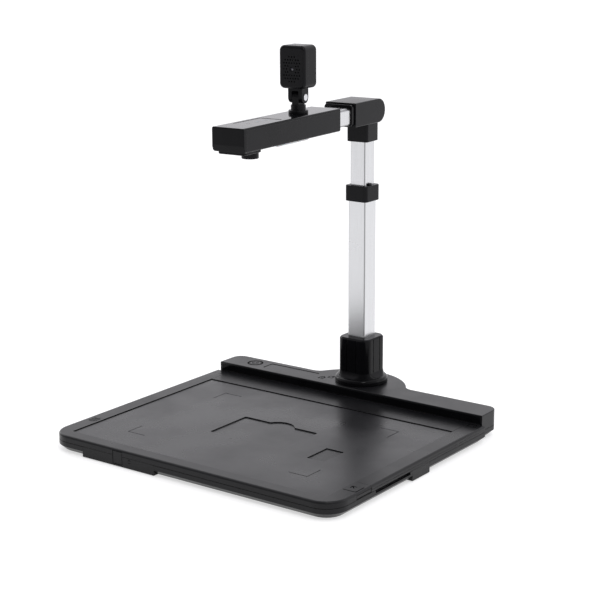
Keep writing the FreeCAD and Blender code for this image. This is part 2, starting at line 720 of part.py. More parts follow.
def mast_head_plug():
    """Plug in the top of the upper tube with the spindle that the neck turns on."""
    side = UPPER_TUBE_SIDE - 2 * UPPER_TUBE_WALL - 0.1
    plug = square_post(side, BORE_CORNER, NECK_BOTTOM_Z - 18, NECK_BOTTOM_Z - GAP)
    spindle = cylinder(SPINDLE_RADIUS, (0, MAST_Y, NECK_BOTTOM_Z - 1), (0, 0, 1), SPINDLE_LENGTH)
    bore = cylinder(SPINDLE_RADIUS - 2, (0, MAST_Y, 0), (0, 0, 1), ELBOW_BOTTOM_Z)
    return plug.fuse(spindle).cut(bore)


# ---------------------------------------------------------------- head, drawn pointing along -Y
def along(distance):
    """Y of a point that lies a distance forwards along the arm."""
    return MAST_Y - distance


def turned(shape):
    """Turn a head piece about the mast's axis into its rest direction."""
    copy = shape.copy()
    copy.rotate(Vector(0, MAST_Y, 0), Vector(0, 0, 1), HEAD_TURN_DEG)
    return copy


def cross_pin(radius, half_length, distance, z):
    """Pin that lies across the arm."""
    return cylinder(radius, (-half_length, along(distance), z), (1, 0, 0), 2 * half_length)


def neck():
    """Block that turns on the mast and carries the fold pivot's lug."""
    block = square_post(NECK_SIDE, 3.0, NECK_BOTTOM_Z, ELBOW_BOTTOM_Z - GAP)
    block = block.makeFillet(0.6, edges_on(block, NECK_BOTTOM_Z))
    eye = cross_pin(LUG_RADIUS, LUG_HALF, -PIVOT_BACK, PIVOT_Z)
    shank = box(-LUG_HALF, LUG_HALF, along(-PIVOT_BACK) - LUG_RADIUS,
                min(along(-PIVOT_BACK) + LUG_RADIUS, MAST_Y + NECK_SIDE / 2),
                ELBOW_BOTTOM_Z - 2, PIVOT_Z)
    body = block.fuse(eye).fuse(shank)
    body = body.cut(cross_pin(FOLD_PIN_RADIUS + RUNNING_GAP, LUG_HALF + 1, -PIVOT_BACK, PIVOT_Z))
    return body.cut(cylinder(SPINDLE_RADIUS + RUNNING_GAP, (0, MAST_Y, NECK_BOTTOM_Z - 1),
                             (0, 0, 1), SPINDLE_LENGTH + 0.5))


def elbow_profile(inset, half_width):
    """Side shape of the elbow: flat box with a round rear end on the fold pivot."""
    pivot_y = along(-PIVOT_BACK)
    round_end = cylinder(PIVOT_RADIUS - inset, (-half_width, pivot_y, PIVOT_Z), (1, 0, 0),
                         2 * half_width)
    flat = box(-half_width, half_width, along(ELBOW_FRONT), pivot_y,
               ELBOW_BOTTOM_Z + inset, ELBOW_TOP_Z - inset)
    return round_end.fuse(flat).removeSplitter()


def elbow_housing():
    """Elbow shell, open at the front where the arm's tube comes out."""
    half = ELBOW_WIDTH / 2
    outer = elbow_profile(0, half)
    rims = []
    for edge in outer.Edges:
        bounds = edge.BoundBox
        if bounds.XLength < 1e-4 and bounds.YLength > 1 and bounds.YMin > along(ELBOW_FRONT) - 1:
            rims.append(edge)
    outer = outer.makeFillet(1.2, rims)
    outer = outer.cut(tube_room(0.15, ARM_TUBE_REAR - 2, ELBOW_FRONT + 1))
    outer = outer.cut(rim_block(ELBOW_FRONT - RIM_SINK, ELBOW_FRONT + 1, 0.1))
    slot = box(-LUG_HALF - GAP, LUG_HALF + GAP, along(LUG_RADIUS - PIVOT_BACK + 0.7),
               along(-ELBOW_FRONT), ELBOW_BOTTOM_Z - 1, PIVOT_Z + LUG_RADIUS + 0.5)
    return outer.cut(slot).cut(cross_pin(FOLD_PIN_RADIUS, FOLD_PIN_HALF, -PIVOT_BACK, PIVOT_Z))


def rim_block(from_distance, to_distance, gap=0.0):
    """Outside of the frame round the arm's tube."""
    return lying_block(RIM_HALF_WIDTH + gap, RIM_HALF_HEIGHT + gap, from_distance, to_distance,
                       ARM_TUBE_CORNER, PIVOT_Z)


def elbow_rim():
    """Glossy frame at the elbow's front that the arm's tube comes out of."""
    front = ELBOW_FRONT + RIM_PROUD
    frame = rim_block(ELBOW_FRONT - RIM_SINK, front)
    edges = [edge for edge in frame.Edges if edge.BoundBox.YMax < along(front) + 1e-4]
    frame = frame.makeFillet(0.8, edges)
    return frame.cut(tube_room(0.1, ELBOW_FRONT - RIM_SINK - 1, front + 1))


def lying_block(half_x, half_z, from_distance, to_distance, radius, z=TUBE_Z):
    """Block along the arm with round long corners."""
    wire = rounded_wire(-half_x, half_x, -half_z, half_z, radius, 0)
    solid = Part.Face(wire).extrude(Vector(0, 0, to_distance - from_distance))
    solid.rotate(Vector(0, 0, 0), Vector(1, 0, 0), 90)
    solid.translate(Vector(0, along(from_distance), z))
    return solid


def tube_room(gap, from_distance, to_distance):
    """Room for the arm's tube with a gap all round."""
    return lying_block(ARM_TUBE_WIDTH / 2 + gap, ARM_TUBE_HEIGHT / 2 + gap, from_distance,
                       to_distance, ARM_TUBE_CORNER)


def arm_tube():
    """Aluminium tube fixed in the elbow, on which the arm slides."""
    outer = lying_block(ARM_TUBE_WIDTH / 2, ARM_TUBE_HEIGHT / 2, ARM_TUBE_REAR, ARM_TUBE_FRONT,
                        ARM_TUBE_CORNER)
    inner = lying_block(ARM_TUBE_WIDTH / 2 - ARM_TUBE_WALL, ARM_TUBE_HEIGHT / 2 - ARM_TUBE_WALL,
                        ARM_TUBE_REAR - 1, ARM_TUBE_FRONT + 1, ARM_TUBE_CORNER - ARM_TUBE_WALL)
    return outer.cut(inner)


def arm_blank():
    """Outer shape of the arm with round corners and a bevelled chin at the front."""
    half = ARM_WIDTH / 2
    middle = (ARM_BOTTOM_Z + ARM_TOP_Z) / 2
    blank = lying_block(half, (ARM_TOP_Z - ARM_BOTTOM_Z) / 2, ARM_REAR, ARM_FRONT, ARM_ROUND,
                        middle)
    blank = blank.makeFillet(1.0, upright_edges(blank))
    wedge = Part.makePolygon([
        Vector(-half - 1, along(ARM_FRONT) - 1, ARM_BOTTOM_Z + CHIN),
        Vector(-half - 1, along(ARM_FRONT), ARM_BOTTOM_Z + CHIN),
        Vector(-half - 1, along(ARM_FRONT - CHIN_IN), ARM_BOTTOM_Z),
        Vector(-half - 1, along(ARM_FRONT - CHIN_IN), ARM_BOTTOM_Z - 1),
        Vector(-half - 1, along(ARM_FRONT) - 1, ARM_BOTTOM_Z - 1),
        Vector(-half - 1, along(ARM_FRONT) - 1, ARM_BOTTOM_Z + CHIN),
    ])
    return blank.cut(Part.Face(wedge).extrude(Vector(ARM_WIDTH + 2, 0, 0)))


def arm_region(z0, z1, from_distance, to_distance):
    """Slice of the space around the arm."""
    return box(-30, 30, along(to_distance), along(from_distance), z0, z1)


def arm_top_cover():
    """Glossy lid of the arm with the seat for the touch panel."""
    lid = arm_blank().common(arm_region(ARM_TOP_Z - ARM_LID, 400, ARM_REAR, ARM_FRONT - FRONT_CAP))
    lid = lid.cut(touch_block(0.0, ARM_TOP_Z - TOUCH_DEPTH, ARM_TOP_Z + 1))
    lid = lid.cut(cylinder(AUX_STEM_RADIUS + RUNNING_GAP, (0, along(AUX_AT), 0), (0, 0, 1),
                           ARM_TOP_Z + 1))
    return lid.cut(cylinder(AUX_CLIP_RADIUS + 0.2, (0, along(AUX_AT), ARM_TOP_Z - ARM_LID),
                            (0, 0, 1), AUX_CLIP_ROOM))


def touch_block(gap, z0, z1):
    """Plan of the touch panel on the arm, moved inwards by a gap."""
    rear, front = TOUCH_AT
    return rounded_block(-TOUCH_HALF + gap, TOUCH_HALF - gap, along(front - gap),
                         along(rear + gap), z0, z1, 1.5)


def arm_bottom_cover():
    """Main body of the arm, open at the rear for the tube."""
    body = arm_blank().common(arm_region(0, ARM_TOP_Z - ARM_LID, ARM_REAR, ARM_FRONT - FRONT_CAP))
    half_x = ARM_WIDTH / 2 - ARM_WALL
    cavity = box(-half_x, half_x, along(ARM_FRONT - FRONT_CAP - 2), along(ARM_REAR + 3),
                 ARM_BOTTOM_Z + ARM_WALL, ARM_TOP_Z)
    body = body.cut(cavity)
    body = body.cut(tube_room(0.3, ARM_REAR - 1, ARM_REAR + 5))
    body = body.cut(cylinder(LENS_BARREL_RADIUS + 0.1, (0, along(LENS_AT), 0), (0, 0, 1),
                             TUBE_Z))
    return body.cut(cross_box(0, along(LED_AT), 6, LED_BOARD_HALF + 1, 0, TUBE_Z))


def arm_front_cap():
    """Dark end cap of the arm."""
    return arm_blank().common(arm_region(0, 400, ARM_FRONT - FRONT_CAP, ARM_FRONT))


def lens_bezel():
    """Low square pedestal under the front end of the arm."""
    rear, front = BEZEL_AT
    body = rounded_block(-BEZEL_HALF, BEZEL_HALF, along(front), along(rear),
                         ARM_BOTTOM_Z - BEZEL_DROP, ARM_BOTTOM_Z, 4.0)
    body = body.makeFillet(0.8, edges_on(body, ARM_BOTTOM_Z - BEZEL_DROP))
    return body.cut(cylinder(HOOD_RADIUS + 0.1, (0, along(LENS_AT), 0), (0, 0, 1), ARM_TOP_Z))


def lens_hood():
    """Round hood around the lens."""
    base_z = ARM_BOTTOM_Z - HOOD_DROP
    ring = cylinder(HOOD_RADIUS, (0, along(LENS_AT), base_z), (0, 0, 1), HOOD_DROP)
    ring = ring.makeFillet(0.5, edges_on(ring, base_z))
    cone = Part.makeCone(HOOD_RADIUS - 1.1, LENS_BARREL_RADIUS - 0.9, HOOD_DROP,
                         Vector(0, along(LENS_AT), base_z))
    return ring.cut(cone)


def lens_barrel():
    """Lens barrel that passes through the arm's floor."""
    z0 = ARM_BOTTOM_Z + 0.2
    barrel = cylinder(LENS_BARREL_RADIUS, (0, along(LENS_AT), z0), (0, 0, 1), 11.0)
    bore = cylinder(LENS_RADIUS, (0, along(LENS_AT), z0), (0, 0, 1), 3.0)
    return barrel.cut(bore)


def lens_glass():
    """Front lens, a shallow dome in the barrel's mouth."""
    z0 = ARM_BOTTOM_Z + 0.2
    centre = Vector(0, along(LENS_AT), z0 + 2.9 + 4.6)
    ball = Part.makeSphere(6.8, centre)
    return ball.common(cylinder(LENS_RADIUS - 0.1, (0, along(LENS_AT), z0 + 0.4), (0, 0, 1), 2.5))


def sensor_board():
    """Circuit board of the main camera."""
    z0 = ARM_BOTTOM_Z + 11.3
    z1 = z0 + BOARD_THICKNESS
    board = cross_box(0, along(LENS_AT + 7), 13, 15, z0, z1)
    chip = cross_box(0, along(LENS_AT + 11), 5, 5, z1, z1 + 1.4)
    return board.fuse(chip)


def led_board():
    """Board with the reading lights, on the arm's floor between tube and skin."""
    return cross_box(0, along(LED_AT), 5.4, LED_BOARD_HALF, ARM_BOTTOM_Z - 0.2, ARM_BOTTOM_Z + 0.8)


def led_diffuser():
    """Milky curved window under the arm."""
    front_y = along(LED_AT + DIFFUSER_HALF)
    top_z = ARM_BOTTOM_Z - GAP / 3
    bow = cylinder(DIFFUSER_RADIUS, (0, front_y, top_z - DIFFUSER_DROP + DIFFUSER_RADIUS),
                   (0, 1, 0), 2 * DIFFUSER_HALF)
    outline = rounded_block(-DIFFUSER_HALF_WIDTH, DIFFUSER_HALF_WIDTH, front_y,
                            front_y + 2 * DIFFUSER_HALF, top_z - 2 * DIFFUSER_DROP, top_z, 6.0)
    room = cross_box(0, along(LED_AT), 5.8, LED_BOARD_HALF + 0.6, ARM_BOTTOM_Z - 0.6, ARM_BOTTOM_Z)
    return bow.common(outline).cut(room)


def arm_glide():
    """Plastic frame in the arm that rides on the tube."""
    half_x = ARM_WIDTH / 2 - ARM_WALL - 0.05
    rear = ARM_REAR + 5.2
    outer = box(-half_x, half_x, along(rear + GLIDE_LENGTH), along(rear),
                ARM_BOTTOM_Z + ARM_WALL, ARM_TOP_Z - ARM_LID)
    return outer.cut(tube_room(0.08, rear - 1, rear + GLIDE_LENGTH + 1))


# ---------------------------------------------------------------- second camera
def aux_base():
    """Foot of the second camera: flange, post and hinge tongue; it turns in the arm's lid."""
    centre = (0, along(AUX_AT), ARM_TOP_Z + GAP / 2)
    flange = cylinder(AUX_FLANGE_RADIUS, centre, (0, 0, 1), AUX_FLANGE_HEIGHT)
    flange = flange.makeFillet(0.8, edges_on(flange, centre[2] + AUX_FLANGE_HEIGHT))
    post = cylinder(AUX_POST_RADIUS, centre, (0, 0, 1), AUX_POST_HEIGHT)
    stem = cylinder(AUX_STEM_RADIUS, (0, along(AUX_AT), ARM_TOP_Z - ARM_LID + 0.1), (0, 0, 1), 6)
    eye = cross_pin(AUX_EYE_RADIUS - 0.2, AUX_TONGUE_HALF, AUX_AT, AUX_PIVOT_Z)
    shank = box(-AUX_TONGUE_HALF, AUX_TONGUE_HALF, along(AUX_AT) - AUX_EYE_RADIUS + 0.2,
                along(AUX_AT) + AUX_EYE_RADIUS - 0.2, ARM_TOP_Z + 5, AUX_PIVOT_Z)
    body = flange.fuse(post).fuse(stem).fuse(eye).fuse(shank)
    return body.cut(cross_pin(AUX_PIN_RADIUS + RUNNING_GAP, 10, AUX_AT, AUX_PIVOT_Z))


def aux_clip():
    """Snap ring under the arm's lid that holds the second camera's foot."""
    start = (0, along(AUX_AT), ARM_TOP_Z - ARM_LID + 0.1)
    height = AUX_CLIP_ROOM - 0.3
    ring = cylinder(AUX_CLIP_RADIUS, start, (0, 0, 1), height)
    return ring.cut(cylinder(AUX_STEM_RADIUS, start, (0, 0, 1), height))


def aux_fork():
    """Fork under the second camera's body."""
    body = box(-AUX_FORK_HALF, AUX_FORK_HALF, along(AUX_AT) - AUX_EYE_RADIUS,
               along(AUX_AT) + AUX_EYE_RADIUS, AUX_PIVOT_Z, AUX_BOTTOM_Z)
    body = body.fuse(cross_pin(AUX_EYE_RADIUS, AUX_FORK_HALF, AUX_AT, AUX_PIVOT_Z))
    body = body.removeSplitter()
    body = body.cut(cross_box(0, along(AUX_AT), AUX_TONGUE_HALF + 0.2, AUX_EYE_RADIUS + 1,
                              AUX_PIVOT_Z - AUX_EYE_RADIUS - 1,
                              AUX_PIVOT_Z + AUX_EYE_RADIUS + 0.4))
    return body.cut(cross_pin(AUX_PIN_RADIUS + 0.02, AUX_FORK_HALF + 1, AUX_AT, AUX_PIVOT_Z))


def aux_pin():
    """Hinge pin with a bright head on the right-hand side."""
    pin = cross_pin(AUX_PIN_RADIUS, AUX_FORK_HALF, AUX_AT, AUX_PIVOT_Z)
    head = cylinder(AUX_PIN_HEAD_RADIUS, (AUX_FORK_HALF, along(AUX_AT), AUX_PIVOT_Z),
                    (1, 0, 0), 0.7)
    return pin.fuse(head)


def aux_block(inset, from_distance, to_distance):
    """Upright rounded block of the second camera, moved inwards by an inset."""
    return lying_block(AUX_WIDTH / 2 - inset, (AUX_TOP_Z - AUX_BOTTOM_Z) / 2 - inset,
                       from_distance, to_distance, AUX_CORNER - inset, AUX_MIDDLE_Z)


def aux_blank():
    """Outer shape of the second camera's body, rounded all over."""
    block = aux_block(0, AUX_AT - AUX_DEPTH / 2, AUX_AT + AUX_DEPTH / 2)
    front_y = along(AUX_AT + AUX_DEPTH / 2)
    rear_y = along(AUX_AT - AUX_DEPTH / 2)
    rims = []
    for edge in block.Edges:
        bounds = edge.BoundBox
        if bounds.YMax < front_y + 1e-4 or bounds.YMin > rear_y - 1e-4:
            rims.append(edge)
    return block.makeFillet(AUX_EDGE, rims)


def grille_holes():
    """Round holes in staggered rows that fill an oval round the lens."""
    reach = AUX_LENS_RADIUS + 1.2
    rows = int(GRILLE_HALF_HEIGHT / GRILLE_PITCH)
    columns = int(GRILLE_HALF_WIDTH / GRILLE_PITCH) + 1
    holes = []
    for row in range(-rows, rows + 1):
        for column in range(-columns, columns + 1):
            x = (column + (row % 2) / 2) * GRILLE_PITCH
            up = row * GRILLE_PITCH
            outside = math.hypot(x / GRILLE_HALF_WIDTH, up / GRILLE_HALF_HEIGHT) > 1
            if outside or math.hypot(x, up) < reach:
                continue
            start = (x, along(AUX_AT + AUX_DEPTH), AUX_MIDDLE_Z + AUX_LENS_UP + up)
            holes.append(cylinder(GRILLE_HOLE, start, (0, 1, 0), AUX_DEPTH))
    return Part.makeCompound(holes)


def aux_front_cover():
    """Front half of the second camera, with its lens hole and its grille."""
    front = aux_blank().common(box(-30, 30, along(AUX_AT + AUX_DEPTH), along(AUX_SPLIT), 0, 500))
    front = front.cut(aux_block(AUX_WALL, 0, AUX_AT + AUX_DEPTH / 2 - AUX_WALL))
    lens_hole = cylinder(AUX_LENS_RADIUS + 0.05,
                         (0, along(AUX_AT + AUX_DEPTH), AUX_MIDDLE_Z + AUX_LENS_UP),
                         (0, 1, 0), AUX_DEPTH)
    return front.cut(lens_hole).cut(grille_holes())


def aux_rear_cover():
    """Rear half of the second camera."""
    rear = aux_blank().common(box(-30, 30, along(AUX_SPLIT), along(AUX_AT - AUX_DEPTH), 0, 500))
    return rear.cut(aux_block(AUX_WALL, AUX_AT - AUX_DEPTH / 2 + AUX_WALL, AUX_AT + AUX_DEPTH))


def aux_lens():
    """Lens of the second camera."""
    z = AUX_MIDDLE_Z + AUX_LENS_UP
    y = along(AUX_AT + AUX_DEPTH / 2 - 0.4)
    barrel = cylinder(AUX_LENS_RADIUS, (0, y, z), (0, 1, 0), 7.0)
    return barrel.cut(cylinder(AUX_LENS_RADIUS - 0.8, (0, y - 1, z), (0, 1, 0), 1.8))


def aux_board():
    """Circuit board of the second camera."""
    y = along(AUX_AT + AUX_DEPTH / 2 - 7.8)
    return box(-11, 11, y, y + BOARD_THICKNESS - 0.2, AUX_BOTTOM_Z + 4, AUX_TOP_Z - 4)


# ---------------------------------------------------------------- base fittings
def latch_button():
    """Release button in the front module, flush with the front wall."""
    half = LATCH_WIDTH / 2
    cap = box(LATCH_X - half, LATCH_X + half, FRONT_Y, FRONT_Y + LATCH_CAP,
              LATCH_Z[0], LATCH_Z[1])
    return cap.makeFillet(0.4, [e for e in cap.Edges if e.BoundBox.YMax < FRONT_Y + 1e-4])


def front_module():
    """Block under the front edge, flush with the wall, that carries the release button."""
    block = base_prism(0, SHELL_Z, SPLIT_Z).common(module_region(0.0, BLOCK_TOP_Z))
    return block.cut(latch_pocket(BUTTON_GAP))


def side_block():
    """Block under the right-hand edge, flush with the wall."""
    return base_prism(0, SHELL_Z, SPLIT_Z).common(side_block_region(0.0, BLOCK_TOP_Z))


def side_button():
    """Push button in the right-hand wall."""
    half = SIDE_BUTTON_LENGTH / 2
    cap = box(HALF_WIDTH - SIDE_CAP, HALF_WIDTH - 0.1, SIDE_BUTTON_Y - half, SIDE_BUTTON_Y + half,
              SIDE_BUTTON_Z[0], SIDE_BUTTON_Z[1])
    return cap.makeFillet(0.4, [e for e in cap.Edges if e.BoundBox.XMin > HALF_WIDTH - 0.2])


def power_button():
    """Round push button in the bar's top."""
    cap = cylinder(POWER_RADIUS, (*POWER_XY, BAR_Z - POWER_CAP), (0, 0, 1), POWER_CAP)
    return cap.makeFillet(0.4, edges_on(cap, BAR_Z))


def tact_switches():
    """Small switches, one behind each push button, just clear of the cap at rest."""
    clear = BUTTON_TRAVEL + 0.2
    half = SWITCH_HALF
    power = cross_box(*POWER_XY, half, half, SPLIT_Z + 1, BAR_Z - POWER_CAP - clear)
    z = sum(LATCH_Z) / 2
    latch = box(LATCH_X - half, LATCH_X + half, FRONT_Y + LATCH_CAP + clear, FRONT_Y + 7,
                z - half, z + half)
    side_z = sum(SIDE_BUTTON_Z) / 2
    side = box(HALF_WIDTH - 6, HALF_WIDTH - SIDE_CAP - clear, SIDE_BUTTON_Y - half,
               SIDE_BUTTON_Y + half, side_z - 1.2, side_z + 1.2)
    return [power, latch, side]


def power_ring():
    """Light ring around the power button."""
    ring = cylinder(RING_RADIUS, (*POWER_XY, BAR_Z - 3.4), (0, 0, 1), 3.3)
    return ring.cut(cylinder(POWER_RADIUS + BUTTON_GAP, (*POWER_XY, 0), (0, 0, 1), BAR_Z))


def sensor_window():
    """Glass of the fingerprint sensor in the pad."""
    bottom = PAD_TOP_Z - PAD_THICKNESS
    return window_block(0.2, bottom, bottom + WINDOW_THICKNESS)


def sensor_module():
    """Fingerprint sensor below its window."""
    return window_block(WINDOW_FRAME + 0.4, MAIN_BOARD_Z + 1.8, PAD_TOP_Z - PAD_THICKNESS)


def indicator():
    """Small light pipe in the pad."""
    return cylinder(INDICATOR_RADIUS, (*INDICATOR_XY, PAD_TOP_Z - PAD_THICKNESS),
                    (0, 0, 1), PAD_THICKNESS - 0.1)


def card_reader():
    """Smart-card reader behind the slot."""
    x1 = HALF_WIDTH - WALL - 0.2
    x0 = x1 - READER_LENGTH
    body = box(x0, x1, SLOT_Y[0] - 2.5, SLOT_Y[1] + 2.5, READER_Z[0], READER_Z[1])
    return body.cut(box(x0 + 8, x1 + 1, SLOT_Y[0], SLOT_Y[1], SLOT_Z[0], SLOT_Z[1]))


def main_board():
    """Controller board in the base."""
    top_z = MAIN_BOARD_Z + BOARD_THICKNESS
    board = box(*MAIN_BOARD_X, *MAIN_BOARD_Y, MAIN_BOARD_Z, top_z)
    for x0, x1, y0, y1, height in (MAIN_CHIP, MEMORY_CHIP):
        board = board.fuse(box(x0, x1, y0, y1, top_z, top_z + height))
    return board


def ballast():
    """Steel weight that keeps the base down."""
    z0 = SHELL_Z + SHELL_FLOOR + 0.1
    return rounded_block(*BALLAST_X, *BALLAST_Y, z0, z0 + BALLAST_THICKNESS, 5.0)


def usb_connectors():
    """Rear connectors: one small power and data inlet and two wide sockets."""
    rear_y = BAR_REAR_Y - 0.3
    front_y = rear_y - PORT_DEPTH
    shells = []
    for x, width, height in REAR_PORTS:
        half_x = width / 2 - 0.15
        half_z = height / 2 - 0.15
        outer = box(x - half_x, x + half_x, front_y, rear_y, REAR_PORT_Z - half_z,
                    REAR_PORT_Z + half_z)
        half_x -= PORT_WALL
        half_z -= PORT_WALL
        inner = box(x - half_x, x + half_x, front_y + 2, rear_y + 1, REAR_PORT_Z - half_z,
                    REAR_PORT_Z + half_z)
        half_x -= 1.0
        tongue = box(x - half_x, x + half_x, front_y + 1.5, rear_y - 1.5, REAR_PORT_Z - 0.4,
                     REAR_PORT_Z + 0.4)
        shells.append(outer.cut(inner).fuse(tongue))
    return shells


def port_board():
    """Board that carries the rear connectors."""
    top = REAR_PORT_Z - max(height for _, _, height in REAR_PORTS) / 2
    return box(*PORT_BOARD_X, BAR_REAR_Y - 22, BAR_REAR_Y - 3.2, top - BOARD_THICKNESS, top)


def rubber_feet():
    """Four round feet, let into the bottom shell."""
    feet = []
    for x, y in FOOT_XY:
        foot = cylinder(FOOT_RADIUS, (x, y, 0), (0, 0, 1), SHELL_Z + FOOT_SINK)
        feet.append(foot.makeFillet(0.3, edges_on(foot, 0)))
    return feet


def main():
    """Build every node and write it to its own file."""
    os.makedirs("parts", exist_ok=True)
    save("bottom_shell", bottom_shell())
    save("top_deck", top_deck())
    save("document_pad", document_pad())
    save("side_rail_left", side_rail(-1))
    save("side_rail_right", side_rail(1))
    save("bar_cover", bar_cover())
    save("bar_front_strip", front_strip())
    save("label_plate", label_block(0.1, BAR_Z - LABEL_DEPTH, BAR_Z - LABEL_DEPTH / 2))
    save("power_button", power_button())
    save("power_ring", power_ring())
    save("front_module", front_module())
    save("latch_button", latch_button())
    save("side_block", side_block())
    save("side_button", side_button())
    save_group("tact_switches", tact_switches())
    save("sensor_window", sensor_window())
    save("sensor_module", sensor_module())
    save("indicator", indicator())
    save("card_reader", card_reader())
    save("main_board", main_board())
    save("ballast_plate", ballast())
    save("port_board", port_board())
    save_group("usb_connectors", usb_connectors())
    save_group("rubber_feet", rubber_feet())
    save_group("base_screws", [base_screw(x, y) for x, y in SCREW_XY])

    save("mast_foot_plate", mast_foot_plate())
    save("mast_socket", mast_socket())
    save("lower_tube", lower_tube())
    save("mast_collar", collar())
    save("collar_screw", collar_screw())
    save("collar_key", collar_key())
    save("upper_tube", upper_tube())
    save("mast_glide", mast_glide())
    save("mast_head_plug", mast_head_plug())

    save("neck", turned(neck()))
    save("elbow_housing", turned(elbow_housing()))
    save("elbow_rim", turned(elbow_rim()))
    save("fold_pin", turned(cross_pin(FOLD_PIN_RADIUS, FOLD_PIN_HALF, -PIVOT_BACK, PIVOT_Z)))
    save("arm_tube", turned(arm_tube()))
    save("arm_bottom_cover", turned(arm_bottom_cover()))
    save("arm_top_cover", turned(arm_top_cover()))
    save("arm_front_cap", turned(arm_front_cap()))
    save("arm_glide", turned(arm_glide()))
    save("touch_panel", turned(touch_block(0.15, ARM_TOP_Z - TOUCH_DEPTH, ARM_TOP_Z - 0.2)))
    save("lens_bezel", turned(lens_bezel()))
    save("lens_hood", turned(lens_hood()))
    save("lens_barrel", turned(lens_barrel()))
    save("lens_glass", turned(lens_glass()))
    save("sensor_board", turned(sensor_board()))
    save("led_board", turned(led_board()))
    save("led_diffuser", turned(led_diffuser()))

    save("aux_base", turned(aux_base()))
    save("aux_clip", turned(aux_clip()))
    save("aux_fork", turned(aux_fork()))
    save("aux_pin", turned(aux_pin()))
    save("aux_front_cover", turned(aux_front_cover()))
    save("aux_rear_cover", turned(aux_rear_cover()))
    save("aux_lens", turned(aux_lens()))
    save("aux_board", turned(aux_board()))


main()
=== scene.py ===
"""Looks of the book scanner: materials, small details, floor, light and camera.

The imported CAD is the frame. Metres, Z up, the reader sits at -Y.
"""

import json
import math

import bmesh
import bpy
from mathutils import Matrix, Vector


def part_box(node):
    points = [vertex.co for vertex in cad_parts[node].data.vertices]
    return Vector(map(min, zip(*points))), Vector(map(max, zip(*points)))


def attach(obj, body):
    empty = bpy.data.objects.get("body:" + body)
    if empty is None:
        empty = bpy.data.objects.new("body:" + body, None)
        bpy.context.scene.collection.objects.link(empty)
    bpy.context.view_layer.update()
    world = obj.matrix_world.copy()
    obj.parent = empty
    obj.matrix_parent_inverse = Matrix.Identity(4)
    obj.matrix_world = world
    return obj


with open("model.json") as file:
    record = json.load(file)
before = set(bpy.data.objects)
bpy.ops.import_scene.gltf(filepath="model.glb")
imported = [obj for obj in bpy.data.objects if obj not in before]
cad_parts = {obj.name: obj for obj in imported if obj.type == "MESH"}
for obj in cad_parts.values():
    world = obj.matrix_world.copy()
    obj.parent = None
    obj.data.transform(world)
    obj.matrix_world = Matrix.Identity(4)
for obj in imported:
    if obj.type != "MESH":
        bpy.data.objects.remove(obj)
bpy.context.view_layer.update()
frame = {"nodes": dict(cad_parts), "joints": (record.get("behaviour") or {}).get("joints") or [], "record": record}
nodes = frame["nodes"]
joints = {joint["name"]: joint for joint in frame["joints"]}

MM = 0.001

# ---------------------------------------------------------------- materials
NOISE_RANGE = (0.3, 0.7)         # where most values of a pattern lie
WAVE_PERIOD = 0.3141             # spacing of a wave texture's ridges at scale 1
EDGE_COSINES = (0.98, 0.80)      # bevelled against true normal: flat, full edge
CORNER_COSINES = (0.985, 0.86)   # normal against its nearest axis: flat, full corner


def scaled(colour, gain, lift=0.0):
    """Colour made lighter or darker."""
    return tuple(lift + gain * channel for channel in colour)


